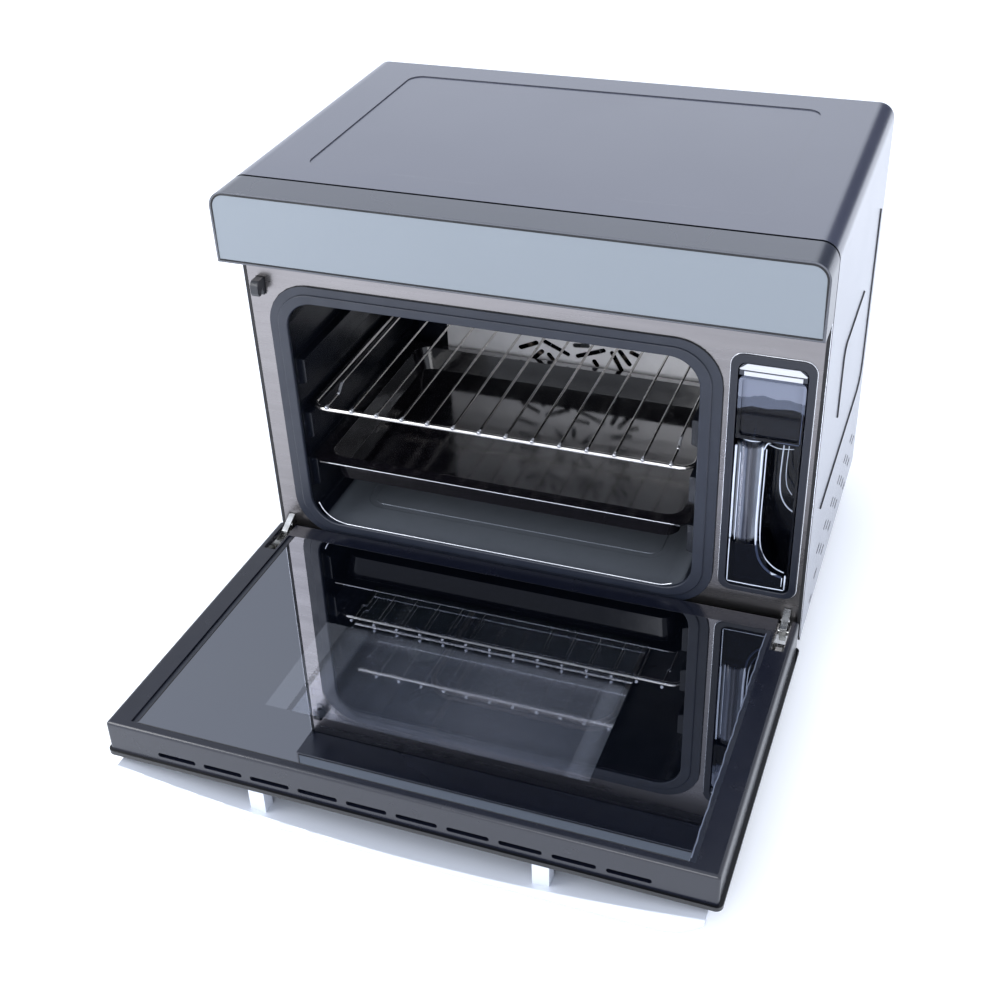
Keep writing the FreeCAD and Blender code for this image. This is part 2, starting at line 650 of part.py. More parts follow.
# roof heater: one wide loop under the roof
done("grill_heater", fuse("grill_heater", [
    pcyl("run_left", "Y", -140, 80, 264, 3.25, 223), pcyl("run_right", "Y", 70, 80, 264, 3.25, 223),
    pcyl("run_front", "X", -110, 50, 264, 3.25, 150),
    pbend("bend_left", -110, 80, 264, 30, 3.25, 180), pbend("bend_right", 40, 80, 264, 30, 3.25, 270)]))

done("lamp_lens", fuse("lamp_lens", [pcyl("lens_disc", "Z", -170, 120, 271, 21, 4), pcyl("lens_plug", "Z", -170, 120, 274, 17.9, 4)]))
done("lamp_housing", minus("lamp_cup", pcyl("cup_out", "Z", -170, 120, cav_z1 + cav_t, 24, 32), [pcyl("cup_in", "Z", -170, 120, cav_z1, 22.6, 31)]))
done("lamp_bulb", fuse("lamp_bulb", [pcyl("glass", "Z", -170, 120, 287, 6, 11), psphere("tip", -170, 120, 287, 6),
                                     pcyl("base", "Z", -170, 120, 297, 9, 9)]))
done("temperature_probe", fuse("temperature_probe", [
    pcyl("rod", "Y", 130, 236, 225, 2.5, 62), psphere("rod_tip", 130, 236, 225, 2.5), pcyl("collar", "Y", 130, cav_d + cav_t, 225, 5.5, 5)]))

b = new_body("insulation")
pad(b, "XZ", 3, 296.2, (rr, xo0 - ins_t, xo1 + ins_t, zo0 - ins_t, zo1 + ins_t, ro + ins_t))
cut(b, "XZ", 3, cav_d + cav_t, (rr, xo0, xo1, zo0, zo1, ro))
cut(b, "XZ", 283, 298, (circle, fan_x, fan_z, 14), (circle, fan_x - 10, fan_z - 74.33, 5), (circle, fan_x + 10, fan_z - 74.33, 5),
    (circle, -140, 264, 5), (circle, 70, 264, 5), (circle, 130, 225, 6))
cut(b, "XY", 275, 290, (circle, -170, 120, 24.6))
cut(b, "YZ", 160, 175, (circle, 270, 225, 5))
done("insulation", b)

# ================================================================ hot-air fan
done("motor_bracket", minus("bracket", pbox("bracket_plate", fan_x - 52, fan_x + 52, 296.2, 297.8, 100, 220), [pcyl("bracket_hole", "Y", fan_x, 290, fan_z, 14, 12),
     pbox("leg_gap", fan_x - 18, fan_x + 18, 295, 299, 99, 112)]))
motor = fuse("motor_body", [pcyl("stator", "Y", fan_x, 299.5, fan_z, 32, 30), pcyl("can_front", "Y", fan_x, 297.8, fan_z, 24, 2), pcyl("can_rear", "Y", fan_x, 329, fan_z, 20, 6)])
done("fan_motor", minus("motor", motor, [pcyl("motor_bore", "Y", fan_x, 297, fan_z, shaft_rad + shaft_gap, 27)]))
done("fan_shaft", pcyl("fan_shaft", "Y", fan_x, 259, fan_z, shaft_rad, 62))
blades = []
for i in range(12):
    bl = doc.addObject("Part::Box", "blade")
    bl.Length = 44
    bl.Width = 15
    bl.Height = 1.2
    a = 30.0 * i
    rot = FreeCAD.Rotation(V(0, 1, 0), a)
    off = rot.multVec(V(12, 0, -0.6))
    bl.Placement = FreeCAD.Placement(V(0, 0, 0), rot)
    bl.setExpression("Placement.Base.x", (fan_x + off.x).e)
    bl.setExpression("Placement.Base.y", q(263.5).e)
    bl.setExpression("Placement.Base.z", (fan_z + off.z).e)
    blades.append(bl)
wheel = fuse("wheel_body", [pcyl("hub", "Y", fan_x, 261, fan_z, 13, 19), pcyl("disc", "Y", fan_x, 278, fan_z, 58, 1.5)] + blades)
done("fan_impeller", minus("impeller", wheel, [pcyl("hub_bore", "Y", fan_x, 255, fan_z, shaft_rad, 30)]))

# ================================================================ steam and water
done("steam_generator", fuse("steam_generator", [
    pbox("block", 192, 252, 257, 302, 112, 190), pcyl("inlet", "Z", 240, 285, 100, 3.5, 14), pcyl("outlet", "Z", 205, 270, 188, 5, 12),
    pbox("foot_left", 194, 206, 300, 306.5, 120, 182), pbox("foot_right", 238, 250, 300, 306.5, 120, 182)]))
done("steam_pipe", fuse("steam_pipe", [
    pcyl("rise", "Z", 205, 270, 200, 4, 13), pbend("elbow", 193, 270, 213, 12, 4, 0, "Y"), pcyl("run", "X", 160, 270, 225, 4, 33)]))
done("water_pump", fuse("water_pump", [
    pcyl("barrel", "Z", 240, 285, 20, 13, 48), pcyl("port_out", "Z", 240, 285, 66, 4, 10), pcyl("port_in", "X", 224, 284, 62, 4, 8),
    pbox("pump_foot", 232, 248, 283, 306.5, 12, 24)]))
done("water_hose", group("water_hose", [
    fuse("suction", [pcyl("s1", "Y", valve_x, 258, valve_z, 4, 8), pbend("s2", 223, 266, valve_z, 18, 4, 90), pcyl("s3", "X", 223, 284, valve_z, 4, 1)]),
    pcyl("delivery", "Z", 240, 285, 76, 4, 24)]))
b = new_body("tank_bay_liner")
pad(b, "XZ", sheet_t, bay_d + bay_t, (rr, bay_x0 - bay_t, bay_x1 + bay_t, bay_z0 - bay_t, bay_z1 + bay_t, 9.5))
cut(b, "XZ", sheet_t, bay_d, (rr, bay_x0, bay_x1, bay_z0, bay_z1, 8))
cut(b, "XZ", bay_d - 1, bay_d + 4, (circle, valve_x, valve_z, 8))
done("tank_bay_liner", b)
b = new_body("tank_bezel")
pad(b, "XZ", -2, 0, (rr, 182.7, 252.4, 44.5, 285, 11), (rr, 189, 246, 50, 277, 7))
body_fillet(b, at_y(-2.0), 0.7)
done("tank_bezel", b)
seat = fuse("seat_body", [pcyl("socket", "Y", valve_x, 241.5, valve_z, 11, 8.5), pcyl("neck", "Y", valve_x, 248, valve_z, 8, 5),
                          pcyl("flange", "Y", valve_x, bay_d + bay_t, valve_z, 14, 2.5), pcyl("nozzle", "Y", valve_x, 252, valve_z, 5, 6)])
seat_cut = minus("seat_hollow", seat, [pcyl("socket_bore", "Y", valve_x, 241, valve_z, 9.2, 6.5)])
done("tank_seat", fuse("tank_seat", [seat_cut, pcyl("seat_pin", "Y", valve_x, 244, valve_z, 1.8, 5)]))

# tank: clear shell, set-back window, half-round grip at the left, finger recess at the right
b = new_body("tank_shell")
pad(b, "XZ", tank_y0, tank_y1, (rr, tank_x0, tank_x1, tank_z0, tank_z1, 6))
cut(b, "XY", tank_z0 + tank_wall, tank_z1 + 1, (rr, tank_x0 + tank_wall, tank_x1 - tank_wall, 3.5, tank_y1 - tank_wall, 3))
pad(b, "XZ", 3, 37, (contour, [(228, 66), (244, 66), (244, 206.5), (211.5, 206.5), (211.5, 104)]))
pad(b, "XZ", 3, 13.5, (rr, 191, 216, 92, 206.5, 0))
cut(b, "XZ", -2, 35, (contour, [(229.5, 68), (243, 68), (243, 204.5), (214, 204.5), (214, 103)]))
cut(b, "XZ", -2, 11.5, (rr, 189, 214.5, 97, 204.5, 0))
cut(b, "XZ", -2, 1.2, (rr, 193, 242, 208, 262, 3))
pad(b, "XY", 95, 202, (contour, [(190, 11.6), (190, 11), (202, -1), (214, 11), (214, 11.6), (212, 11.6), (212, 11), (202, 1), (192, 11), (192, 11.6)],
                       {1: (12, True), 2: (12, True), 6: (10, False), 7: (10, False)}))
pad(b, "XY", 95, 97.2, (contour, [(190, 11.6), (190, 11), (202, -1), (214, 11), (214, 11.6)], {1: (12, True), 2: (12, True)}))
shell = b
spout = pcyl("spout", "Y", valve_x, tank_y1 - 1, valve_z, 7, 5)
done("tank_body", minus("tank_done", fuse("tank_all", [shell, spout]), [pcyl("spout_bore", "Y", valve_x, tank_y1 - 5, valve_z, 3.15, 12)]))
done("tank_seal", pbend("tank_seal", valve_x, 242.4, valve_z, 7.9, 0.9, 0, "Y", 360))
done("tank_valve", fuse("tank_valve", [pcyl("valve_stem", "Y", valve_x, 230, valve_z, 3.1, 13.4), pcyl("valve_head", "Y", valve_x, 235.6, valve_z, 6, 2.2)]))
# lid: slides forward along the tank's top edge on two inner ribs
b = new_body("lid_sheet")
lz = tank_z1 + 0.3


def lid_shape(z1, r):
    z1, r = q(z1), q(r)
    return (contour, [(tank_x0, lz), (tank_x1, lz), (tank_x1, z1 - r), (tank_x1 - r, z1), (tank_x0 + r, z1), (tank_x0, z1 - r)],
            {2: (r, True), 4: (r, True)})


pad(b, "XZ", tank_y0, tank_y1, lid_shape(269.6, 1.0))
pad(b, "XZ", tank_y0, 7, lid_shape(276.4, 6.5))
done("tank_lid", fuse("tank_lid", [
    b, pbox("rib_left", tank_x0 + tank_wall + 0.3, 194, 112, 232, 259, 266), pbox("rib_right", 241, tank_x1 - tank_wall - 0.3, 112, 232, 259, 266)]))
b = new_body("grip_top")
pad(b, "XZ", -1.8, tank_y0, (contour, [(tank_x0, 271.4), (tank_x0 + 0.8, 270.6), (tank_x1 - 0.8, 270.6), (tank_x1, 271.4), (tank_x1 - 6.5, 276.4), (tank_x0 + 6.5, 276.4)]))
done("tank_grip", group("tank_grip", [b, pbox("strip_low", 194, 241.5, -1.8, tank_y0, 265.5, 269.3)]))

# ================================================================ power board and cooling blower
stand = [pcyl("standoff", "Z", a, c, zo1 + ins_t, 3, 14) for a, c in ((-222, 178), (-98, 178), (-222, 282), (-98, 282))]
done("power_board", fuse("power_board", stand + [
    pbox("board", -230, -90, 170, 290, 301, 302.6), pbox("relay_a", -222, -200, 200, 230, 302, 318), pbox("relay_b", -194, -172, 200, 230, 302, 318),
    pbox("transformer", -150, -108, 190, 232, 302, 334), pcyl("capacitor", "Z", -130, 262, 302, 11, 26), pbox("heat_sink", -215, -165, 250, 262, 302, 336)]))
housing = minus("scroll", fuse("scroll_out", [pcyl("drum", "Z", 60, 230, zo1 + ins_t, 46, 43), pbox("throat", 60, 106, 230, 296, zo1 + ins_t, 331.2)]),
                [fuse("scroll_in", [pcyl("drum_in", "Z", 60, 230, 290, 44.5, 39.7), pbox("throat_in", 61.5, 104.5, 231, 298, 290, 329.7)]),
                 pcyl("shaft_hole", "Z", 60, 230, 325, 5, 10)] + [pcyl("inlet_%d" % i, "Z", 60 + 31 * math.cos(i * math.pi / 4), 230 + 31 * math.sin(i * math.pi / 4), 325, 7, 10) for i in range(8)])
done("blower_housing", housing)
vanes = []
for i in range(16):
    bl = doc.addObject("Part::Box", "vane")
    bl.Length = 8
    bl.Width = 1.2
    bl.Height = 28
    a = 22.5 * i
    rot = FreeCAD.Rotation(V(0, 0, 1), a)
    off = rot.multVec(V(30, -0.6, 0))
    bl.Placement = FreeCAD.Placement(V(60 + off.x, 230 + off.y, 293), rot)
    vanes.append(bl)
done("blower_wheel", fuse("blower_wheel", [pcyl("wheel_disc", "Z", 60, 230, 292.5, 38.5, 1.5), pcyl("wheel_hub", "Z", 60, 230, 292.5, 9, 22),
                                           pcyl("wheel_shaft", "Z", 60, 230, 312, 3, 38)] + vanes))
bm = fuse("blower_motor_body", [pcyl("bm_can", "Z", 60, 230, 334, 20, 26), pcyl("bm_foot", "Z", 60, 230, 331.2, 15, 4)])
done("blower_motor", minus("blower_motor_cut", bm, [pcyl("bm_bore", "Z", 60, 230, 330, 3.05, 22)]))

# ================================================================ door switch
b = new_body("door_switch_lever")
pad(b, "YZ", -247.5, -240, (contour, [(24, 278), (24, 294), (-9, 294), (-13, 290), (-13, 283), (-11.5, 280), (-8, 280), (-6.5, 284.5), (-4.2, 284.5), (-3.2, 278)],
                            {2: (5.8, True)}))
done("door_switch_lever", b)
done("door_switch_body", minus("switch_box", pbox("switch_out", -250.5, -238, sheet_t, 40, 268, 302), [pbox("switch_in", -247.7, -239.8, 0, 36, 277.8, 294.2)]))

# ================================================================ hinges, cabinet side
arms = []
for sx in (1, -1):
    b = new_body("hinge_arm_right" if sx > 0 else "hinge_arm_left")
    lo, hi = (244, 250) if sx > 0 else (-250, -244)
    pad(b, "YZ", lo, hi,
        (contour, [(58, 13), (58, 33.5), (-0.5, 33.5), (-19.5, 25.2), (-21.4, 20), (-18.4, 11), (-10, 8.8), (-1, 13)]),
        (circle, piv_y, piv_z, pin_rad))
    arms.append(b)
done("hinge_arms", group("hinge_arms", arms))
pins = [pcyl("pin", "X", 241 if sx > 0 else -253, piv_y, piv_z, pin_rad, 12) for sx in (1, -1)]
done("hinge_pins", group("hinge_pins", pins))
rec = []
for sx in (1, -1):
    lo, hi = (242.2, 251.8) if sx > 0 else (-251.8, -242.2)
    li, hj = (243.9, 250.1) if sx > 0 else (-250.1, -243.9)
    rec.append(minus("receiver", pbox("rec_out", lo, hi, sheet_t, 62, 9, 43), [pbox("rec_in", li, hj, 0, 60, 12.9, 34)]))
done("hinge_receivers", group("hinge_receivers", rec))

# ================================================================ door
b = new_body("door_frame")
pad(b, "XY", door_back, door_top, (rr, -door_hw, door_hw, door_free, door_hinge, 2.5))
# the upper edge at the hinge end is rounded so that it passes under the seal as the door swings
body_fillet(b, lambda e: at_z(door_top.v)(e) and all(abs(v.Point.y - door_hinge.v) < 1e-4 for v in e.Vertexes), 3.0)
cut(b, "XY", 4.5, q(door_top) + 1, (rr, -239, 238.4, win_y0, win_y1, 0))
cut(b, "XY", door_back - 1, 4.6, (rr, -226, 226, -286, -24, 0))
cut(b, "XY", door_back - 1, q(door_top) + 1, (rr, slot_x0, slot_x1, slot_y, 9, 0), (rr, -slot_x1, -slot_x0, slot_y, 9, 0))
cut(b, "XY", door_back - 1, 4.0, (rr, slot_x0, slot_x1, -103.5, q(slot_y) + 0.5, 0), (rr, -slot_x1, -slot_x0, -103.5, q(slot_y) + 0.5, 0))
cut(b, "XY", door_back - 1, -16, (circle, post_x, -299.7, 3.9), (circle, -post_x, -299.7, 3.9))
pk = cut(b, "XZ", door_free - 1, -285, (rr, 0, 35, -2.2, 2.2, 2.1), ox=-211.9, oy=-13.7)
doc.recompute()
lp = b.newObject("PartDesign::LinearPattern", "vent_row")
lp.Originals = [pk]
lp.Direction = (pk.Profile[0], ["H_Axis"])
lp.Length = 42.8 * 9
lp.Occurrences = 10
b.Tip = lp
done("door_frame", b, at_door)

b = new_body("door_outer_panel")
pad(b, "XY", door_out, door_back, (rr, -262, 262, panel_free, 8, 6))
body_fillet(b, at_z(door_out.v), 1.2)
cut(b, "XY", door_out - 1, door_back + 1, (circle, post_x, -299.7, 2.5), (circle, -post_x, -299.7, 2.5))
done("door_outer_panel", b, at_door)

b = new_body("door_glass")
pad(b, "XY", 4.5, door_top, (rr, -232.6, 233.6, win_y0, win_y1, 1))
done("door_glass", b, at_door)
done("glass_strips", group("glass_strips", [pbox("strip_left", -239, -232.6, win_y0, win_y1, 4.5, 6.8), pbox("strip_right", 233.6, 238.4, win_y0, win_y1, 4.5, 8.2)]), at_door)

bar_in_r = (bar_hw * bar_hw + (bar_in_end - bar_in_mid) * (bar_in_end - bar_in_mid)) / ((bar_in_end - bar_in_mid) * 2)
rise = bar_out_end - bar_out_mid
bar_out_r = (bar_bend * bar_bend + rise * rise) / (rise * 2)
b = new_body("handle_bar")
pad(b, "XZ", bar_y0, bar_y1, (contour, [
    (-bar_hw, bar_out_end), (-bar_hw + bar_bend, bar_out_mid), (bar_hw - bar_bend, bar_out_mid), (bar_hw, bar_out_end),
    (bar_hw, bar_in_end), (-bar_hw, bar_in_end)],
    {0: (bar_out_r, True), 2: (bar_out_r, True), 4: (bar_in_r, False)}))
body_fillet(b, lambda e: e.BoundBox.YLength < 1e-3 and e.Length > 8, 2.2)
done("handle_bar", b, at_door)


def bar_in_z(x):
    """Height of the handle bar's inner face at x."""
    x = q(x)
    return bar_in_mid + bar_in_r - qsqrt(bar_in_r * bar_in_r - x * x)


posts = []
for sx in (1, -1):
    b = new_body("post_right" if sx > 0 else "post_left")
    x0, x1 = (post_x - post_w / 2, post_x + post_w / 2) if sx > 0 else (-post_x - post_w / 2, -post_x + post_w / 2)
    pad(b, "XZ", -305.7, -293.7, (contour, [(x0, bar_in_z(x0)), (x1, bar_in_z(x1)), (x1, door_out), (x0, door_out)], {0: (bar_in_r, True)}))
    cut(b, "XY", -42, door_out + 1, (circle, post_x if sx > 0 else -post_x, -299.7, 2.5))
    posts.append(b)
done("handle_posts", group("handle_posts", posts), at_door)
hs = []
for sx in (1, -1):
    px = post_x if sx > 0 else -post_x
    hs.append(fuse("handle_screw", [pcyl("hs_shank", "Z", px, -299.7, -41.5, 2.5, 21.5), pcyl("hs_head", "Z", px, -299.7, door_back, 3.8, 3)]))
done("handle_screws", group("handle_screws", hs), at_door)

chans = []
springs = []
rods = []
for sx in (1, -1):
    s = float(sx)
    lo, hi = (241, 253) if sx > 0 else (-253, -241)
    li, hj = (242.2, 251.8) if sx > 0 else (-251.8, -242.2)
    cx = 247.0 * s
    walls = minus("u_walls", pbox("u_out", lo, hi, -103, 5, door_back, 3.8), [pbox("u_in", li, hj, -104, 6, door_back + 1.2, 5)])
    plate = minus("cross_plate", pbox("cp", q(li) - 0.3, q(hj) + 0.3, -36, -34.5, door_back + 0.8, 3.8), [pcyl("cp_hole", "Y", cx, -38, -6, 2.15, 6)])
    chans.append(minus("channel", fuse("channel_all", [walls, plate]), [pcyl("pin_hole", "X", 240 if sx > 0 else -254, 0, 0, pin_rad + pin_gap, 14)]))
    rods.append(fuse("rod", [pcyl("rod_bar", "Y", cx, -94, -6, 2, 72), pcyl("rod_nut", "Y", cx, -94, -6, 4.3, 4), pbox("rod_eye", cx - 3, cx + 3, -29, -20, -9.5, -2.5)]))
    h = doc.addObject("Part::Helix", "coil_path")
    h.Radius = 3.5
    h.Pitch = 4.0
    h.Height = 50
    c = doc.addObject("Part::Circle", "coil_wire")
    c.Radius = 0.8
    c.Placement = FreeCAD.Placement(V(3.5, 0, 0), FreeCAD.Rotation(V(1, 0, 0), 90))
    sw = doc.addObject("Part::Sweep", "coil")
    sw.Sections = [c]
    sw.Spine = (h, ["Edge1"])
    sw.Solid = True
    sw.Frenet = True
    sw.Placement = FreeCAD.Placement(V(cx, -38, -6), FreeCAD.Rotation(V(1, 0, 0), 90))
    springs.append(sw)
done("hinge_channels", group("hinge_channels", chans), at_door)
done("hinge_springs", group("hinge_springs", springs), at_door)
done("hinge_rods", group("hinge_rods", rods), at_door)

# ================================================================ rack
zr = rack_z + rim_rad
x0r, x1r, y0r, y1r, rc = -218.4, 151.9, 16.2, 245.0, 13.0
bars = [
    pcyl("bar_front", "X", x0r + rc, y0r, zr, rim_rad, x1r - x0r - 2 * rc), pcyl("bar_rear", "X", x0r + rc, y1r, zr, rim_rad, x1r - x0r - 2 * rc),
    pcyl("bar_left", "Y", x0r, y0r + rc, zr, rim_rad, y1r - y0r - 2 * rc), pcyl("bar_right", "Y", x1r, y0r + rc, zr, rim_rad, y1r - y0r - 2 * rc),
    pbend("c1", x0r + rc, y0r + rc, zr, rc, rim_rad, 180), pbend("c2", x1r - rc, y0r + rc, zr, rc, rim_rad, 270),
    pbend("c3", x1r - rc, y1r - rc, zr, rc, rim_rad, 0), pbend("c4", x0r + rc, y1r - rc, zr, rc, rim_rad, 90),
    pcyl("bar_cross", "X", x0r + 1, 214, zr, 2.0, x1r - x0r - 2)]
zw = zr + rim_rad + wire_rad - 0.4
wires = []
for i in range(14):
    xw = wire_pitch * (i - 6.5) - 34.5
    if 0 < i < 13:
        wires.append(pcyl("wire", "Y", xw, 14.0, zw, wire_rad, 232.5))
    else:
        up = 7.0
        run = 10.0
        wires.append(pcyl("wire_low", "Y", xw, 14.0, zw, wire_rad, 26.0))
        sl = doc.addObject("Part::Cylinder", "wire_ramp")
        sl.Placement = FreeCAD.Placement(V(0, 0, 0), FreeCAD.Rotation(V(1, 0, 0), -90 + math.degrees(math.atan2(up, run))))
        sl.setExpression("Radius", wire_rad.e)
        sl.Height = math.hypot(up, run)
        sl.setExpression("Placement.Base.x", xw.e)
        sl.setExpression("Placement.Base.y", q(40.0).e)
        sl.setExpression("Placement.Base.z", zw.e)
        wires.append(sl)
        wires.append(psphere("knee", xw, 40.0, zw, wire_rad))
        wires.append(psphere("knee", xw, 50.0, zw + up, wire_rad))
        wires.append(pcyl("wire_high", "Y", xw, 50.0, zw + up, wire_rad, 180.0))
        wires.append(psphere("knee", xw, 230.0, zw + up, wire_rad))
        sl = doc.addObject("Part::Cylinder", "wire_ramp")
        sl.Placement = FreeCAD.Placement(V(0, 0, 0), FreeCAD.Rotation(V(1, 0, 0), -90 - math.degrees(math.atan2(up, run))))
        sl.setExpression("Radius", wire_rad.e)
        sl.Height = math.hypot(up, run)
        sl.setExpression("Placement.Base.x", xw.e)
        sl.setExpression("Placement.Base.y", q(230.0).e)
        sl.setExpression("Placement.Base.z", (zw + up).e)
        wires.append(sl)
        wires.append(psphere("knee", xw, 240.0, zw, wire_rad))
        wires.append(pcyl("wire_end", "Y", xw, 240.0, zw, wire_rad, 6.5))
done("wire_rack", fuse("wire_rack", bars + wires))


# ================================================================ tray
def loft(body, sub, z0, s0, z1, s1):
    a = sketch(body, "XY_Plane", z0)
    rr(a, *s0)
    c = sketch(body, "XY_Plane", z1)
    rr(c, *s1)
    f = body.newObject("PartDesign::SubtractiveLoft" if sub else "PartDesign::AdditiveLoft", body.Name + "_loft")
    f.Profile = a
    f.Sections = [c]
    f.Ruled = True
    body.Tip = f
    return f


b = new_body("baking_tray")
tb = tray_z - tray_drop
loft(b, False, tb, (-203.5, 138.5, 20.5, 241.5, 14), tray_z + 1.4, (-208, 143, 16, 243.5, 16))
pad(b, "XY", tray_z, tray_z + 1.4, (contour, [
    (-210, 3.5), (145, 3.5), (155, 13.5), (155, 246), (151, 250), (-216, 250), (-220, 246), (-220, 13.5)]))
doc.recompute()
loft(b, True, tb + 1.2, (-202.3, 137.3, 21.7, 240.3, 13), tray_z + 1.4, (-206.9, 141.9, 17.1, 242.4, 15))
cut(b, "XY", tray_z + 1.35, tray_z + 3, (rr, -206.9, 141.9, 17.1, 242.4, 15))
done("baking_tray", b)

# ================================================================ check and write
doc.recompute()
bad = []
for o in doc.Objects:
    st = [s for s in o.State if s in ("Invalid", "Error")]
    if st:
        bad.append("%s (%s): %s" % (o.Name, o.Label, st))
for name, o in NODES:
    sh = o.Shape
    if sh.isNull() or not sh.isValid() or not sh.Solids:
        bad.append("%s: bad shape" % name)
if bad:
    raise RuntimeError("failed objects: " + "; ".join(bad))
os.makedirs("parts", exist_ok=True)
for name, o in NODES:
    o.Shape.exportStep("parts/%s.step" % name)
box = FreeCAD.BoundBox()
for name, o in NODES:
    box.add(o.Shape.BoundBox)
    print("%-20s solids %2d  volume %9.1f  x %.1f..%.1f  y %.1f..%.1f  z %.1f..%.1f" % (
        name, len(o.Shape.Solids), o.Shape.Volume, o.Shape.BoundBox.XMin, o.Shape.BoundBox.XMax, o.Shape.BoundBox.YMin, o.Shape.BoundBox.YMax,
        o.Shape.BoundBox.ZMin, o.Shape.BoundBox.ZMax))
print("nodes", len(NODES), "box", box)
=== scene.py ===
import math
import random

import bpy
import bmesh
from mathutils import Matrix, Vector


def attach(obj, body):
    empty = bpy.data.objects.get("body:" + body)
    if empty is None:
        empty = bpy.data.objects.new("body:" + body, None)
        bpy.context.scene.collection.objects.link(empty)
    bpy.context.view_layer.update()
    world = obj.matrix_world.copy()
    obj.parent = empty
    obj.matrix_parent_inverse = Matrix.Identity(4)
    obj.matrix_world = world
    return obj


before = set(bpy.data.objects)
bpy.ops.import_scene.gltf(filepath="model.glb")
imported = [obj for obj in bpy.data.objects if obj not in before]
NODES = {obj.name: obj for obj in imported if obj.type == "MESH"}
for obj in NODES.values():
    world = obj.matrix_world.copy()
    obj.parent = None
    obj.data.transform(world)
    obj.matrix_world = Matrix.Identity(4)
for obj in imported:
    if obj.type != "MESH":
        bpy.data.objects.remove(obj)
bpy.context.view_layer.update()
scene = bpy.context.scene
rng = random.Random(7)

# ---------------------------------------------------------------- camera
cam_data = bpy.data.cameras.new("camera")
cam = bpy.data.objects.new("camera", cam_data)
scene.collection.objects.link(cam)
right = Vector((0.93873322, 0.34265486, -0.03698102))
down = Vector((0.1672769, -0.54680898, -0.82037697))
ahead = Vector((-0.30132771, 0.76392904, -0.570626))
cam.matrix_world = Matrix(
    (
        (right.x, -down.x, -ahead.x, 0.37272),
        (right.y, -down.y, -ahead.y, -0.99985),
        (right.z, -down.z, -ahead.z, 0.88122),
        (0, 0, 0, 1),
    )
)
cam_data.sensor_width = 36
cam_data.lens = 50.9276
cam_data.shift_x = -0.0051
cam_data.shift_y = -0.0093
cam_data.clip_start = 0.01
cam_data.clip_end = 50
cam_data.dof.use_dof = False
scene.camera = cam


# ---------------------------------------------------------------- node helpers
def lin(c):
    out = []
    for v in c[:3]:
        v = v / 255.0
        out.append(v / 12.92 if v <= 0.04045 else ((v + 0.055) / 1.055) ** 2.4)
    return (out[0], out[1], out[2], 1.0)


class Nodes:
    """Small helper round one material's node tree."""

    def __init__(self, name):
        self.m = bpy.data.materials.new(name)
        self.m.use_nodes = True
        self.t = self.m.node_tree
        self.t.nodes.clear()
        self.out = self.t.nodes.new("ShaderNodeOutputMaterial")
        self.bsdf = self.t.nodes.new("ShaderNodeBsdfPrincipled")
        self.t.links.new(self.bsdf.outputs[0], self.out.inputs[0])
        self.co = self.t.nodes.new("ShaderNodeTexCoord").outputs["Object"]

    def new(self, kind, **props):
        n = self.t.nodes.new(kind)
        for k, v in props.items():
            setattr(n, k, v)
        return n

    def link(self, a, b):
        self.t.links.new(a, b)

    def mapped(self, scale=(1, 1, 1), loc=(0, 0, 0), rot=(0, 0, 0)):
        n = self.new("ShaderNodeMapping")
        n.inputs["Scale"].default_value = scale
        n.inputs["Location"].default_value = loc
        n.inputs["Rotation"].default_value = rot
        self.link(self.co, n.inputs["Vector"])
        return n.outputs[0]

    def noise(self, scale, detail=3.0, rough=0.5, vec=None):
        n = self.new("ShaderNodeTexNoise")
        n.inputs["Scale"].default_value = scale
        n.inputs["Detail"].default_value = detail
        n.inputs["Roughness"].default_value = rough
        self.link(vec if vec is not None else self.co, n.inputs["Vector"])
        return n.outputs["Fac"]

    def ramp(self, fac, stops):
        n = self.new("ShaderNodeValToRGB")
        el = n.color_ramp.elements
        el[0].position, el[0].color = stops[0]
        el[1].position, el[1].color = stops[-1]
        for p, c in stops[1:-1]:
            e = el.new(p)
            e.color = c
        self.link(fac, n.inputs["Fac"])
        return n.outputs["Color"]

    def span(self, fac, a, b, lo=0.3, hi=0.7):
        n = self.new("ShaderNodeMapRange")
        n.inputs["From Min"].default_value = lo
        n.inputs["From Max"].default_value = hi
        n.inputs["To Min"].default_value = a
        n.inputs["To Max"].default_value = b
        self.link(fac, n.inputs["Value"])
        return n.outputs["Result"]

    def math(self, op, a, b=None):
        n = self.new("ShaderNodeMath", operation=op)
        for i, v in enumerate((a, b)):
            if v is None:
                continue
            if isinstance(v, (int, float)):
                n.inputs[i].default_value = v
            else:
                self.link(v, n.inputs[i])
        return n.outputs[0]

    def mix(self, fac, a, b):
        n = self.new("ShaderNodeMix", data_type="RGBA")
        self.link(fac, n.inputs[0]) if not isinstance(fac, (int, float)) else setattr(n.inputs[0], "default_value", fac)
        for i, v in ((6, a), (7, b)):
            if isinstance(v, tuple):
                n.inputs[i].default_value = v
            else:
                self.link(v, n.inputs[i])
        return n.outputs[2]

    def set(self, name, v):
        s = self.bsdf.inputs[name]
        if hasattr(v, "is_output"):
            self.link(v, s)
        else:
            s.default_value = v

    def bump(self, height, strength, distance, normal=None):
        n = self.new("ShaderNodeBump")
        n.inputs["Strength"].default_value = strength
        n.inputs["Distance"].default_value = distance
        self.link(height, n.inputs["Height"])
        if normal is not None:
            self.link(normal, n.inputs["Normal"])
        return n.outputs["Normal"]

    def round(self, radius):
        n = self.new("ShaderNodeBevel")
        n.samples = 4
        n.inputs["Radius"].default_value = radius
        return n.outputs["Normal"]


def step(n, v, a, b):
    """1 where v lies between a and b, else 0."""
    return n.math("MULTIPLY", n.math("GREATER_THAN", v, a), n.math("LESS_THAN", v, b))


def scaled(c, k):
    return (min(c[0] * k, 1.0), min(c[1] * k, 1.0), min(c[2] * k, 1.0), 1.0)


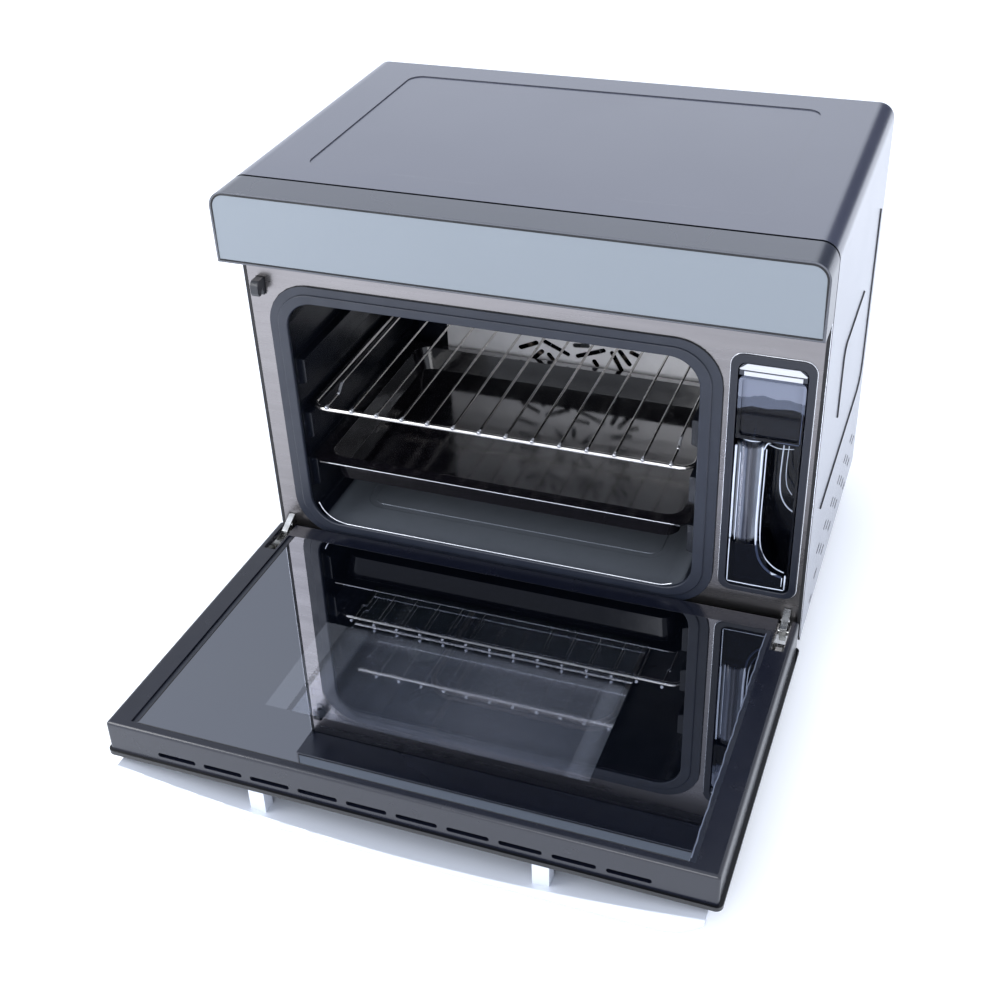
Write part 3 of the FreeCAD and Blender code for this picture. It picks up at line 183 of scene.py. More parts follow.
def basic(name, rgb, rough, metal=0.0, vary=0.10, scale=60.0, rough_vary=0.06, bump=0.0, bump_scale=900.0,
          stretch=None, edge=0.0, coat=0.0, coat_rough=0.05, spec=0.5, ior=None, wear=0.0):
    """A finish with slow tone and gloss variation, a fine grain, and edges that catch light."""
    n = Nodes(name)
    c = lin(rgb)
    vec = n.mapped(stretch) if stretch else None
    base = n.noise(scale, 4.0, 0.6, vec)
    col = n.ramp(base, [(0.3, scaled(c, 1 - vary)), (0.7, scaled(c, 1 + vary))])
    if wear:
        spots = n.noise(scale * 9, 2.0, 0.5, vec)
        col = n.mix(n.span(spots, 0.0, wear, 0.55, 0.75), col, scaled(c, 1.6))
    n.set("Base Color", col)
    n.set("Roughness", n.span(n.noise(scale * 0.7, 3.0, 0.5, vec), max(rough - rough_vary, 0.01), rough + rough_vary))
    n.set("Metallic", metal)
    n.set("Specular IOR Level", spec)
    if ior:
        n.set("IOR", ior)
    if coat:
        n.set("Coat Weight", coat)
        n.set("Coat Roughness", coat_rough)
    normal = n.round(edge) if edge else None
    if bump:
        normal = n.bump(n.noise(bump_scale, 2.0, 0.6, vec), bump, 0.0004, normal)
    if normal is not None:
        n.set("Normal", normal)
    return n


def paint(node, material, keep_slot=True):
    o = NODES[node]
    o.data.materials.clear()
    o.data.materials.append(material)
    for p in o.data.polygons:
        p.material_index = 0


# ---------------------------------------------------------------- finishes
M = {}
# satin coat of the casing: fine metallic grain; painted shade in the sides' pressed lines and vent walls and on the
# wall of the top's recess, a dark joint band along the front edge, and the outer sides painted lighter as a painted
# reflection of the bright room
n = basic("casing_satin", (64, 67, 83), 0.24, vary=0.03, scale=5, rough_vary=0.02, bump=0.03, bump_scale=2600, edge=0.0006, ior=2.05)
sep = n.new("ShaderNodeSeparateXYZ")
n.link(n.co, sep.inputs[0])
ax = n.math("ABSOLUTE", sep.outputs[0])
# painted shade: groove bottoms and vent walls of the sides, and the wall of the top's recess
side = n.math("MULTIPLY", step(n, ax, 0.2585, 0.25985), n.math("LESS_THAN", sep.outputs[2], 0.40))
top = n.math("MULTIPLY", step(n, sep.outputs[2], 0.42120, 0.42192), n.math("LESS_THAN", ax, 0.22))
shade_and_joint_mask = n.math("MAXIMUM", side, n.math("MULTIPLY", top, 0.75))
# dark joint band along the casing's front edge
shade_and_joint_mask = n.math("MAXIMUM", shade_and_joint_mask, n.span(sep.outputs[1], 1.0, 0.0, -0.0062, -0.0059))
was = n.bsdf.inputs["Base Color"].links[0].from_socket
# painted reflection: the outer side faces are mixed three quarters of the way to a light grey
lit_flank = n.math("MULTIPLY", n.span(ax, 0.0, 1.0, 0.2596, 0.25995), 0.75)
col = n.mix(lit_flank, was, lin((138, 141, 152)))
n.set("Base Color", n.mix(shade_and_joint_mask, col, lin((10, 12, 17))))
n.set("Roughness", n.mix(shade_and_joint_mask, n.span(n.noise(7, 3, 0.5), 0.22, 0.26), (0.95, 0.95, 0.95, 1.0)))
n.set("Specular IOR Level", n.span(shade_and_joint_mask, 0.5, 0.0, 0.0, 1.0))
M["cabinet_wrap"] = n.m
n = basic("head_satin", (44, 48, 60), 0.27, vary=0.04, scale=6, rough_vary=0.02, bump=0.03, bump_scale=2600, edge=0.0006, ior=1.9)
sep = n.new("ShaderNodeSeparateXYZ")
n.link(n.co, sep.inputs[0])
seam = n.span(sep.outputs[1], 0.0, 1.0, -0.0092, -0.0089)
was = n.bsdf.inputs["Base Color"].links[0].from_socket
n.set("Base Color", n.mix(seam, was, lin((10, 12, 17))))
n.set("Specular IOR Level", n.span(seam, 0.5, 0.0, 0.0, 1.0))
M["control_housing"] = n.m
n = basic("control_face", (122, 129, 136), 0.36, vary=0.012, scale=8, rough_vary=0.03, edge=0.0004, spec=0.35)
M["control_fascia"] = n.m
# brushed steel: fine grain runs across
n = basic("brushed_front", (134, 131, 132), 0.28, metal=1.0, vary=0.05, scale=90, rough_vary=0.04, bump=0.04, bump_scale=1500, stretch=(0.12, 1, 1.6), edge=0.0004)
M["front_panel"] = n.m
M["galvanised"] = basic("galvanised", (150, 153, 158), 0.42, metal=0.9, vary=0.16, scale=55, rough_vary=0.12, bump=0.05, edge=0.0004).m
# chamber: dark glossy enamel walls, lighter satin floor
n = basic("chamber_enamel", (14, 17, 25), 0.22, vary=0.10, scale=30, rough_vary=0.05, bump=0.02, bump_scale=700, edge=0.0008)
sep = n.new("ShaderNodeSeparateXYZ")
n.link(n.co, sep.inputs[0])
low = n.span(sep.outputs[2], 1.0, 0.0, 0.0625, 0.0665)
was = n.bsdf.inputs["Base Color"].links[0].from_socket
n.set("Base Color", n.mix(low, was, n.ramp(n.noise(50, 4, 0.6), [(0.3, lin((116, 122, 131))), (0.7, lin((121, 127, 137)))])))
n.set("Metallic", n.math("MULTIPLY", low, 0.5))
roof = n.span(sep.outputs[2], 0.0, 1.0, 0.3035, 0.3065)
was = n.bsdf.inputs["Base Color"].links[0].from_socket
n.set("Base Color", n.mix(roof, was, n.ramp(n.noise(40, 4, 0.6), [(0.3, lin((34, 37, 44))), (0.7, lin((42, 45, 52)))])))
M["enamel_dark"] = n.m
M["baffle"] = basic("baffle_satin", (232, 231, 233), 0.34, metal=0.55, vary=0.05, scale=40, rough_vary=0.08, bump=0.05, bump_scale=1200, edge=0.0004).m
M["gasket"] = basic("seal_rubber_slate", (28, 33, 45), 0.44, vary=0.07, scale=70, rough_vary=0.08, bump=0.08, bump_scale=1500, edge=0.0004).m
M["chrome"] = basic("bright_wire", (220, 216, 211), 0.20, metal=1.0, vary=0.08, scale=90, rough_vary=0.06, bump=0.04, bump_scale=1400).m
n = basic("tray_enamel", (15, 14, 18), 0.10, vary=0.20, scale=120, rough_vary=0.04, bump=0.03, bump_scale=1300, edge=0.0005, wear=0.15)
geo = n.new("ShaderNodeNewGeometry")
nz = n.new("ShaderNodeSeparateXYZ")
n.link(geo.outputs["True Normal"], nz.inputs[0])
n.set("IOR", n.span(nz.outputs[2], 1.45, 2.45, -0.1, 0.3))
n.set("Specular IOR Level", n.span(nz.outputs[2], 0.05, 0.5, -0.9, 0.0))
M["tray"] = n.m
M["heater"] = basic("heater_tube", (96, 88, 82), 0.42, metal=0.8, vary=0.25, scale=80, rough_vary=0.12).m
M["black_plastic"] = basic("black_plastic", (34, 36, 41), 0.42, vary=0.12, scale=80, rough_vary=0.06, bump=0.10, bump_scale=1800, edge=0.0004).m
M["bay_plastic"] = basic("bay_plastic", (20, 24, 35), 0.34, vary=0.08, scale=60, rough_vary=0.05, bump=0.04, bump_scale=1600, edge=0.0004).m
M["frame_black"] = basic("door_frame_black", (15, 18, 30), 0.25, vary=0.08, scale=90, rough_vary=0.03, bump=0.02, bump_scale=1900, edge=0.0005, ior=1.58).m
M["zinc"] = basic("bright_zinc", (190, 190, 188), 0.22, metal=1.0, vary=0.22, scale=150, rough_vary=0.12, bump=0.15, bump_scale=500, edge=0.0004).m
M["silver_trim"] = basic("silver_trim", (196, 198, 204), 0.38, metal=0.2, vary=0.04, scale=40, stretch=(0.1, 1, 4), edge=0.0003).m
M["lid"] = basic("lid_smoke", (40, 44, 54), 0.2, vary=0.10, scale=70, rough_vary=0.05, edge=0.0004).m
M["wool"] = basic("mineral_wool", (222, 214, 190), 0.95, vary=0.2, scale=180, bump=0.8, bump_scale=500).m
M["board"] = basic("circuit_board", (30, 92, 56), 0.4, vary=0.25, scale=220, rough_vary=0.1).m
M["motor"] = basic("motor_lacquer", (92, 93, 97), 0.5, metal=0.6, vary=0.2, scale=120, bump=0.1, edge=0.0004).m
M["alloy"] = basic("cast_alloy", (176, 176, 174), 0.5, metal=0.8, vary=0.14, scale=140, bump=0.2, bump_scale=700, edge=0.0005).m
M["hose"] = basic("hose_silicone", (216, 216, 208), 0.45, vary=0.06, scale=100).m
M["foot"] = basic("foot_rubber", (30, 30, 31), 0.7, vary=0.15, scale=120, bump=0.2, edge=0.0006).m
M["seal_red"] = basic("tank_seal", (150, 52, 44), 0.5, vary=0.1, scale=150).m
M["strip"] = basic("glass_strip", (34, 37, 46), 0.3, vary=0.25, scale=40, rough_vary=0.15, stretch=(4, 0.6, 1), bump=0.25, bump_scale=120).m
n = basic("handle_satin", (200, 205, 215), 0.36, metal=0.2, vary=0.03, scale=60, rough_vary=0.05, bump=0.05, bump_scale=1600, stretch=(0.06, 1, 1), edge=0.0005)
M["handle"] = n.m
# light clear material for the painted highlights on the tank's edges
M["clear_highlight_bead"] = basic("tank_highlight_clear", (196, 204, 220), 0.08, vary=0.10, scale=60, rough_vary=0.03, coat=0.6, coat_rough=0.02, ior=1.6).m
# light metal used for painted highlights along edges, rims and wire ends
M["highlight_edge"] = basic("highlight_edge", (224, 226, 232), 0.22, metal=0.7, vary=0.05, scale=60, rough_vary=0.06).m
# dark material for real joints and gaps, and for painted shade in the sides' pressed lines and vent mouths and round
# the seal's foot
M["gap_and_shade_dark"] = basic("gap_and_shade_dark", (9, 10, 14), 0.6, vary=0.2, scale=90, rough_vary=0.1).m
M["sealant"] = basic("sealant", (96, 103, 120), 0.35, vary=0.12, scale=90, rough_vary=0.1, bump=0.1, bump_scale=400).m

# door's inner glass: nearly black mirror, with a clearer window whose border is hatched with fine lines
n = Nodes("door_inner_glass")
sep = n.new("ShaderNodeSeparateXYZ")
n.link(n.co, sep.inputs[0])
X, Y = sep.outputs[0], sep.outputs[1]


def between(nn, v, a, b, soft=0.0002):
    lo = nn.new("ShaderNodeMapRange")
    lo.inputs["From Min"].default_value = a - soft
    lo.inputs["From Max"].default_value = a + soft
    nn.link(v, lo.inputs["Value"])
    hi = nn.new("ShaderNodeMapRange")
    hi.inputs["From Min"].default_value = b - soft
    hi.inputs["From Max"].default_value = b + soft
    hi.inputs["To Min"].default_value = 1.0
    hi.inputs["To Max"].default_value = 0.0
    nn.link(v, hi.inputs["Value"])
    return nn.math("MULTIPLY", lo.outputs[0], hi.outputs[0])


wy = between(n, Y, -0.2620, -0.1455)
film = between(n, X, -0.1425, -0.1225)
left_lines = between(n, X, -0.1225, -0.101)
right_lines = between(n, X, 0.121, 0.1405)
window = n.math("MULTIPLY", between(n, X, -0.1225, 0.1405), between(n, Y, -0.2620, -0.0820))
wave = n.new("ShaderNodeTexWave", wave_type="BANDS", bands_direction="X")
wave.inputs["Scale"].default_value = 172.0
wave.inputs["Distortion"].default_value = 0.0
n.link(n.co, wave.inputs["Vector"])
lines = n.span(wave.outputs["Fac"], 0.0, 1.0, 0.55, 0.75)
back_lines = n.math("MULTIPLY", between(n, Y, -0.1600, -0.1455), between(n, X, -0.1225, 0.1405))
across = n.new("ShaderNodeTexWave", wave_type="BANDS", bands_direction="Y")
across.inputs["Scale"].default_value = 172.0
across.inputs["Distortion"].default_value = 0.0
n.link(n.co, across.inputs["Vector"])
rows = n.math("MULTIPLY", back_lines, n.span(across.outputs["Fac"], 0.0, 1.0, 0.55, 0.75))
hatch = n.math("MULTIPLY", n.math("MAXIMUM", left_lines, right_lines), n.math("MULTIPLY", wy, lines))
hatch = n.math("MAXIMUM", n.math("MAXIMUM", hatch, n.math("MULTIPLY", rows, 0.6)), n.math("MULTIPLY", n.math("MULTIPLY", film, wy), 1.25))
clear = window
tone = n.noise(16, 4, 0.6)
dark = n.ramp(tone, [(0.3, lin((3, 4, 8))), (0.7, lin((5, 7, 12)))])
col = n.mix(clear, dark, n.ramp(tone, [(0.3, lin((3, 4, 5))), (0.7, lin((5, 7, 8)))]))
col = n.mix(n.math("MULTIPLY", hatch, 0.20), col, lin((120, 124, 132)))
n.set("Base Color", col)
n.set("Roughness", n.span(n.noise(9, 3, 0.5), 0.008, 0.02))
n.set("IOR", n.span(clear, 3.3, 2.5, 0.0, 1.0))
n.set("Specular Tint", n.ramp(n.noise(7, 2, 0.5), [(0.3, (0.84, 0.88, 1.0, 1.0)), (0.7, (0.86, 0.90, 1.0, 1.0))]))
n.set("Specular IOR Level", 0.5)
# the pane lies a shade flatter than its frame
turn = n.new("ShaderNodeVectorTransform", vector_type="VECTOR", convert_from="OBJECT", convert_to="WORLD")
turn.inputs[0].default_value = (0.0, -0.0207, 0.0)
add = n.new("ShaderNodeVectorMath", operation="ADD")
n.link(n.round(0.0004), add.inputs[0])
n.link(turn.outputs[0], add.inputs[1])
unit = n.new("ShaderNodeVectorMath", operation="NORMALIZE")
n.link(add.outputs[0], unit.inputs[0])
n.set("Normal", unit.outputs[0])
# the window lets the outer pane show
thru = n.new("ShaderNodeBsdfTransparent")
n.link(n.mix(clear, (0.0, 0.0, 0.0, 1.0), n.ramp(n.noise(12, 3, 0.5), [(0.3, (0.86, 0.87, 0.90, 1.0)), (0.7, (0.90, 0.91, 0.94, 1.0))])), thru.inputs[0])
both = n.new("ShaderNodeAddShader")
n.link(n.bsdf.outputs[0], both.inputs[0])
n.link(thru.outputs[0], both.inputs[1])
n.link(both.outputs[0], n.out.inputs[0])
M["door_glass"] = n.m

# door's outer pane: black glass; its inner face is mirror-like, and the patch of it below the window is painted
# lighter: painted light seen through the window
n = basic("door_outer_black", (9, 10, 14), 0.04, vary=0.15, scale=20, rough_vary=0.02, edge=0.0005)
geo = n.new("ShaderNodeNewGeometry")
nz = n.new("ShaderNodeSeparateXYZ")
n.link(geo.outputs["True Normal"], nz.inputs[0])
pos = n.new("ShaderNodeSeparateXYZ")
n.link(n.co, pos.inputs[0])
level = n.math("ADD", pos.outputs[2], n.math("MULTIPLY", pos.outputs[1], 0.0332))
inner = n.span(level, 0.0, 1.0, 0.0262, 0.0270)
inner = n.math("MULTIPLY", inner, n.math("MULTIPLY", between(n, pos.outputs[0], -0.24, 0.24), between(n, pos.outputs[1], -0.30, -0.03)))
# painted light: a lighter grey patch on the inner face behind the window
painted_light_patch = n.math("MULTIPLY", inner, n.math("MULTIPLY", between(n, pos.outputs[0], -0.143, 0.126, 0.002), between(n, pos.outputs[1], -0.234, -0.113, 0.002)))
was = n.bsdf.inputs["Base Color"].links[0].from_socket
n.set("Base Color", n.mix(painted_light_patch, was, n.ramp(n.noise(9, 3, 0.5), [(0.3, lin((64, 66, 70))), (0.7, lin((80, 81, 84)))])))
n.set("IOR", n.span(inner, 1.5, 3.9, 0.0, 1.0))
M["door_outer"] = n.m


def see_through(name, rgb, rough, tint, clear=0.85, window=False):
    """Clear plastic or glass: passes straight light, tinted, with a reflecting surface; with window set, the tank also
    gets tone bands across its top and painted highlight and reflection stripes on its grip tube.
    """
    n = Nodes(name)
    c = lin(rgb)
    tone = n.noise(45, 4, 0.6)
    n.set("Base Color", n.ramp(tone, [(0.3, scaled(c, 0.8)), (0.7, scaled(c, 1.2))]))
    n.set("Roughness", n.span(n.noise(60, 3, 0.5), max(rough - 0.02, 0.0), rough + 0.03))
    n.set("Coat Weight", 0.5)
    n.set("Coat Roughness", 0.03)
    n.set("Normal", n.round(0.0005))
    if window:
        sp = n.new("ShaderNodeSeparateXYZ")
        n.link(n.co, sp.inputs[0])
        # lighter band across the top of the tank's front and a mid-tone band below a wavy line, over the dark body
        z = n.math("ADD", sp.outputs[2], n.math("MULTIPLY", n.noise(38, 2, 0.5), 0.016))
        pale = n.math("MULTIPLY", n.span(z, 0.0, 1.0, 0.2865, 0.2871), n.math("LESS_THAN", sp.outputs[1], 0.0))
        mid_tone_band = n.math("MULTIPLY", n.span(z, 0.0, 1.0, 0.2766, 0.2772), n.math("LESS_THAN", sp.outputs[1], 0.0))
        pale = n.math("MULTIPLY", pale, n.math("LESS_THAN", sp.outputs[2], 0.2955))
        was = n.bsdf.inputs["Base Color"].links[0].from_socket
        n.set("Base Color", n.mix(pale, n.mix(mid_tone_band, was, lin((84, 92, 112))), lin((136, 143, 163))))
    tube = None
    # painted highlights and reflections: light and dark vertical stripes across the face of the grip tube
    if window:
        tube = n.math("MULTIPLY", between(n, sp.outputs[0], 0.1910, 0.2134, 0.0005), between(n, sp.outputs[2], 0.134, 0.2300, 0.002))
        tube = n.math("MULTIPLY", tube, n.math("LESS_THAN", sp.outputs[1], 0.012))
        wavy = n.math("ADD", sp.outputs[0], n.math("MULTIPLY", n.noise(26, 2, 0.5), 0.0016))
        painted_reflection_stripes = [(0.0, (226, 231, 240)), (0.12, (205, 212, 226)), (0.20, (96, 104, 124)), (0.30, (74, 80, 98)), (0.40, (118, 124, 140)), (0.47, (40, 45, 60)),
                   (0.58, (96, 98, 108)), (0.66, (34, 38, 52)), (0.78, (60, 66, 82)), (0.90, (200, 208, 222)), (1.0, (232, 236, 244))]
        fac = n.span(wavy, 0.0, 1.0, 0.1918, 0.2146)
        was = n.bsdf.inputs["Base Color"].links[0].from_socket
        n.set("Base Color", n.mix(n.math("MULTIPLY", tube, 0.9), was, n.ramp(fac, [(q, lin(c)) for q, c in painted_reflection_stripes])))
    tr = n.new("ShaderNodeBsdfTransparent")
    tc = lin(tint)
    n.link(n.ramp(n.noise(30, 3, 0.5), [(0.3, scaled(tc, 0.92)), (0.7, scaled(tc, 1.05))]), tr.inputs[0])
    fr = n.new("ShaderNodeFresnel")
    fr.inputs["IOR"].default_value = 1.5
    mx = n.new("ShaderNodeMixShader")
    much = n.span(fr.outputs[0], 1 - clear, 1.0, 0.02, 0.9)
    if tube is not None:
        much = n.math("MAXIMUM", n.math("MAXIMUM", much, n.math("MULTIPLY", mid_tone_band, 0.6)), n.math("MULTIPLY", tube, 0.75))
    n.link(much, mx.inputs[0])
    n.link(tr.outputs[0], mx.inputs[1])
    n.link(n.bsdf.outputs[0], mx.inputs[2])
    n.link(mx.outputs[0], n.out.inputs[0])
    return n.m


M["tank_clear"] = see_through("tank_smoke", (15, 18, 29), 0.05, (176, 184, 204), 0.74, window=True)
M["glass_clear"] = see_through("lamp_glass", (150, 156, 156), 0.06, (225, 230, 230), 0.8)

USE = {
    "cabinet_wrap": "cabinet_wrap", "control_housing": "control_housing", "control_fascia": "control_fascia", "front_panel": "front_panel",
    "base_plate": "galvanised", "rear_panel": "galvanised", "rear_cover": "galvanised", "lamp_housing": "galvanised", "motor_bracket": "galvanised",
    "fan_impeller": "galvanised", "blower_housing": "galvanised", "hinge_receivers": "galvanised",
    "feet": "foot", "foot_screws": "zinc", "rear_screws": "zinc", "handle_screws": "zinc", "cord_gland": "black_plastic",
    "display_board": "board", "power_board": "board", "cavity_shell": "enamel_dark", "cavity_gasket": "gasket", "fan_baffle": "baffle",
    "ring_heater": "heater", "grill_heater": "heater", "lamp_lens": "glass_clear", "lamp_bulb": "glass_clear", "temperature_probe": "zinc",
    "insulation": "wool", "fan_motor": "motor", "blower_motor": "motor", "fan_shaft": "zinc", "steam_generator": "alloy", "steam_pipe": "zinc",
    "water_pump": "black_plastic", "water_hose": "hose", "tank_bay_liner": "bay_plastic", "tank_bezel": "bay_plastic", "tank_seat": "black_plastic",
    "tank_body": "tank_clear", "tank_seal": "seal_red", "tank_valve": "black_plastic", "tank_lid": "lid", "tank_grip": "silver_trim",
    "blower_wheel": "black_plastic", "door_switch_lever": "black_plastic", "door_switch_body": "black_plastic", "hinge_arms": "zinc",
    "hinge_pins": "zinc", "door_frame": "frame_black", "door_outer_panel": "door_outer", "door_glass": "door_glass", "glass_strips": "strip",
    "handle_bar": "handle", "handle_posts": "handle", "hinge_channels": "zinc", "hinge_springs": "zinc", "hinge_rods": "zinc",
    "wire_rack": "chrome", "baking_tray": "tray",
}
for node in NODES:
    paint(node, M[USE[node]])

# ---------------------------------------------------------------- small pieces drawn here
S = Vector((0.0, -8.0, 33.0))


def cab(x, y, z):
    """Row-frame point of a place given from the front panel plane and the casing's lower edge, in mm."""
    return (Vector((x, y, z)) + S) / 1000.0


TILT = math.radians(1.911)


def dor(x, y, z):
    """Row-frame point of a place given from the door's pivot, in mm."""
    c, k = math.cos(TILT), math.sin(TILT)
    return Vector((x, -20.1 + y * c + z * k, 49.7 - y * k + z * c)) / 1000.0


def bead(name, points, radius, body, material, closed=False, smooth=True):
    """A thin round rod through points, made as a mesh."""
    pts = [Vector(p) for p in points]
    if smooth and len(pts) > 2:
        fine = []
        m = len(pts)
        last = m if closed else m - 1
        for i in range(last):
            p0, p1, p2, p3 = (pts[(i + k) % m] if closed else pts[min(max(i + k, 0), m - 1)] for k in (-1, 0, 1, 2))
            for j in range(6):
                t = j / 6.0
                fine.append(0.5 * ((2 * p1) + (p2 - p0) * t + (2 * p0 - 5 * p1 + 4 * p2 - p3) * t * t + (3 * p1 - p0 - 3 * p2 + p3) * t ** 3))
        if not closed:
            fine.append(pts[-1])
        pts = fine
    bm = bmesh.new()
    rings = []
    m = len(pts)
    side = None
    for i, p in enumerate(pts):
        a = pts[(i - 1) % m] if (closed or i > 0) else p
        b = pts[(i + 1) % m] if (closed or i < m - 1) else p
        d = (b - a).normalized()
        if side is None:
            side = d.orthogonal().normalized()
        side = (side - d * side.dot(d)).normalized()
        up = d.cross(side)
        rings.append([bm.verts.new(p + radius * (side * math.cos(k * math.pi / 4) + up * math.sin(k * math.pi / 4))) for k in range(8)])
    for i in range(m if closed else m - 1):
        r0, r1 = rings[i], rings[(i + 1) % m]
        for k in range(8):
            f = bm.faces.new((r0[k], r1[k], r1[(k + 1) % 8], r0[(k + 1) % 8]))
            f.smooth = True
    if not closed:
        bm.faces.new(list(rings[0]))
        bm.faces.new(list(reversed(rings[-1])))
    bmesh.ops.recalc_face_normals(bm, faces=bm.faces)
    me = bpy.data.meshes.new(name)
    bm.to_mesh(me)
    bm.free()
    ob = bpy.data.objects.new(name, me)
    scene.collection.objects.link(ob)
    me.materials.append(M[material])
    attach(ob, body)
    return ob


def block(name, lo, hi, body, material, place=cab, soft=0.15):
    """A small box with softened edges; corners in mm."""
    bm = bmesh.new()
    bmesh.ops.create_cube(bm, size=1.0)
    for v in bm.verts:
        v.co = Vector(place(*[lo[i] if v.co[i] < 0 else hi[i] for i in range(3)]))
    if soft:
        bmesh.ops.bevel(bm, geom=list(bm.edges), offset=soft / 1000.0, segments=2, affect="EDGES", profile=0.5)
    me = bpy.data.meshes.new(name)
    bm.to_mesh(me)
    bm.free()
    ob = bpy.data.objects.new(name, me)
    scene.collection.objects.link(ob)
    me.materials.append(M[material])
    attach(ob, body)
    return ob


# dark joint between the front panel and the casing's edges, and a thin light strip beside it on the hem as a painted
# highlight
for sx, tag in ((-1, "left"), (1, "right")):
    block("corner_joint_" + tag, (min(sx * 256.3, sx * 259.2), -0.35, 3), (max(sx * 256.3, sx * 259.2), 0.2, 323.2), "cabinet", "gap_and_shade_dark", soft=0.1)
    block("corner_hem_highlight_" + tag, (min(sx * 259.25, sx * 259.8), -0.5, 3), (max(sx * 259.25, sx * 259.8), 0.2, 323.2), "cabinet", "highlight_edge", soft=0.2)
# dark gap around the fascia
rim = [(-257.7, 326.0), (257.7, 326.0)]
rr0 = 15.0 - 2.3
for cx, a0 in ((257.7 - rr0, 0), (-257.7 + rr0, 90)):
    rim += [(cx + rr0 * math.cos(math.radians(a0 + 9.0 * i)), 386.7 - rr0 + rr0 * math.sin(math.radians(a0 + 9.0 * i))) for i in range(11)]
bead("fascia_gap", [cab(x, -36.8, z) for x, z in rim], 0.0009, "cabinet", "gap_and_shade_dark", closed=True, smooth=False)
# dark gap where the head meets the front panel and the casing
block("head_joint", (-258, -0.6, 323.0), (258, -0.05, 323.65), "cabinet", "gap_and_shade_dark", soft=0.1)


def round_rect(x0, x1, z0, z1, r, y, n=6):
    pts = []
    for cx, cz, a0 in ((x1 - r, z0 + r, -90), (x1 - r, z1 - r, 0), (x0 + r, z1 - r, 90), (x0 + r, z0 + r, 180)):
        for i in range(n + 1):
            a = math.radians(a0 + 90.0 * i / n)
            pts.append(cab(cx + r * math.cos(a), y, cz + r * math.sin(a)))
    return pts


# rolled lip at the chamber floor's front edge, drawn light as a painted highlight
lip = [cab(-214.5, -0.6, 54.0), cab(-209.5, -0.6, 44.5), cab(-200.5, -0.6, 37.2), cab(-190.0, -0.6, 34.0), cab(-181.0, -0.6, 33.4)]
lip += [cab(x, -0.6, 33.35) for x in (-140, -90, -40, 10, 60, 100)]
lip += [cab(118, -0.6, 33.4), cab(131.0, -0.6, 33.8), cab(141.0, -0.6, 37.4)]
bead("chamber_lip_highlight", lip, 0.0006, "cabinet", "highlight_edge")
# painted shadow line round the seal's foot and a fine painted highlight line round the tank's frame
bead("seal_foot", round_rect(-239.2, 177.7, 17.6, 290.7, 42.2, -0.2), 0.0005, "cabinet", "gap_and_shade_dark", closed=True, smooth=False)
bead("bezel_rim_highlight", round_rect(182.5, 252.6, 44.3, 285.2, 11.2, -0.3), 0.00045, "cabinet", "highlight_edge", closed=True, smooth=False)

# painted shade in the sides' pressed lines and vent mouths: dark rods along the lines and dark blocks in the mouths
for sx, tag in ((-1, "left"), (1, "right")):
    x = sx * 260.15
    outer = [(x, 47, 114), (x, 150, 114), (x, 250, 114), (x, 258, 114.6), (x, 268, 117.5), (x, 276, 124), (x, 279.6, 132), (x, 280, 140), (x, 280, 220), (x, 280, 298)]
    bead("side_line_shade_outer_" + tag, [cab(*p) for p in outer], 0.0011, "cabinet", "gap_and_shade_dark", smooth=False)
    innr = [(x, 103, 175), (x, 103, 230), (x, 103.6, 236), (x, 107, 241.4), (x, 113, 244), (x, 120, 244), (x, 215, 244)]
    bead("side_line_shade_inner_" + tag, [cab(*p) for p in innr], 0.0011, "cabinet", "gap_and_shade_dark", smooth=False)
    bm = bmesh.new()
    for z, ys in ((55.0, (60, 98, 137, 176, 215, 254)), (41.0, (79, 118, 157, 196, 235, 274)), (26.0, (60, 98, 137, 176, 215, 254)), (9.1, (44, 236))):
        for y in ys:
            wide = 12.0 if z < 10 else 15.0
            made = bmesh.ops.create_cube(bm, size=1.0)["verts"]
            for v in made:
                v.co = cab(sx * (259.0 if v.co.x * sx < 0 else 260.22), y + (0.2 if v.co.y < 0 else wide - 0.2), z + (-0.9 if v.co.z < 0 else 0.9))
    me = bpy.data.meshes.new("vent_mouth_shade_" + tag)
    bm.to_mesh(me)
    bm.free()
    ob = bpy.data.objects.new("vent_mouth_shade_" + tag, me)
    scene.collection.objects.link(ob)
    me.materials.append(M["gap_and_shade_dark"])
    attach(ob, "cabinet")

# painted highlights on the ends of the rack's wires where they lie on its front bar, and the two raised outer wires, in
# the same light highlight material
ZW = 151.2 + 2.25 + 2.25 + 1.25 - 0.4
for i in range(14):
    xw = 25.7 * (i - 6.5) - 34.5
    bead("wire_tip_%02d" % i, [cab(xw, 12.6, ZW - 0.3), cab(xw, 13.6, ZW + 0.1), cab(xw, 17.5, ZW + 0.15)], 0.00165, "rack", "highlight_edge", smooth=False)
    if i in (0, 13):
        bead("wire_rise_%02d" % i, [cab(xw, 39.0, ZW), cab(xw, 41.0, ZW + 0.4), cab(xw, 49.0, ZW + 6.4), cab(xw, 51.5, ZW + 7.0)], 0.0015, "rack", "highlight_edge", smooth=False)

# painted highlight along the tray's front rim
bead("tray_rim_highlight", [cab(-203.0 + 34.3 * i, 3.7, 100.45) for i in range(11)], 0.00038, "tray", "highlight_edge")
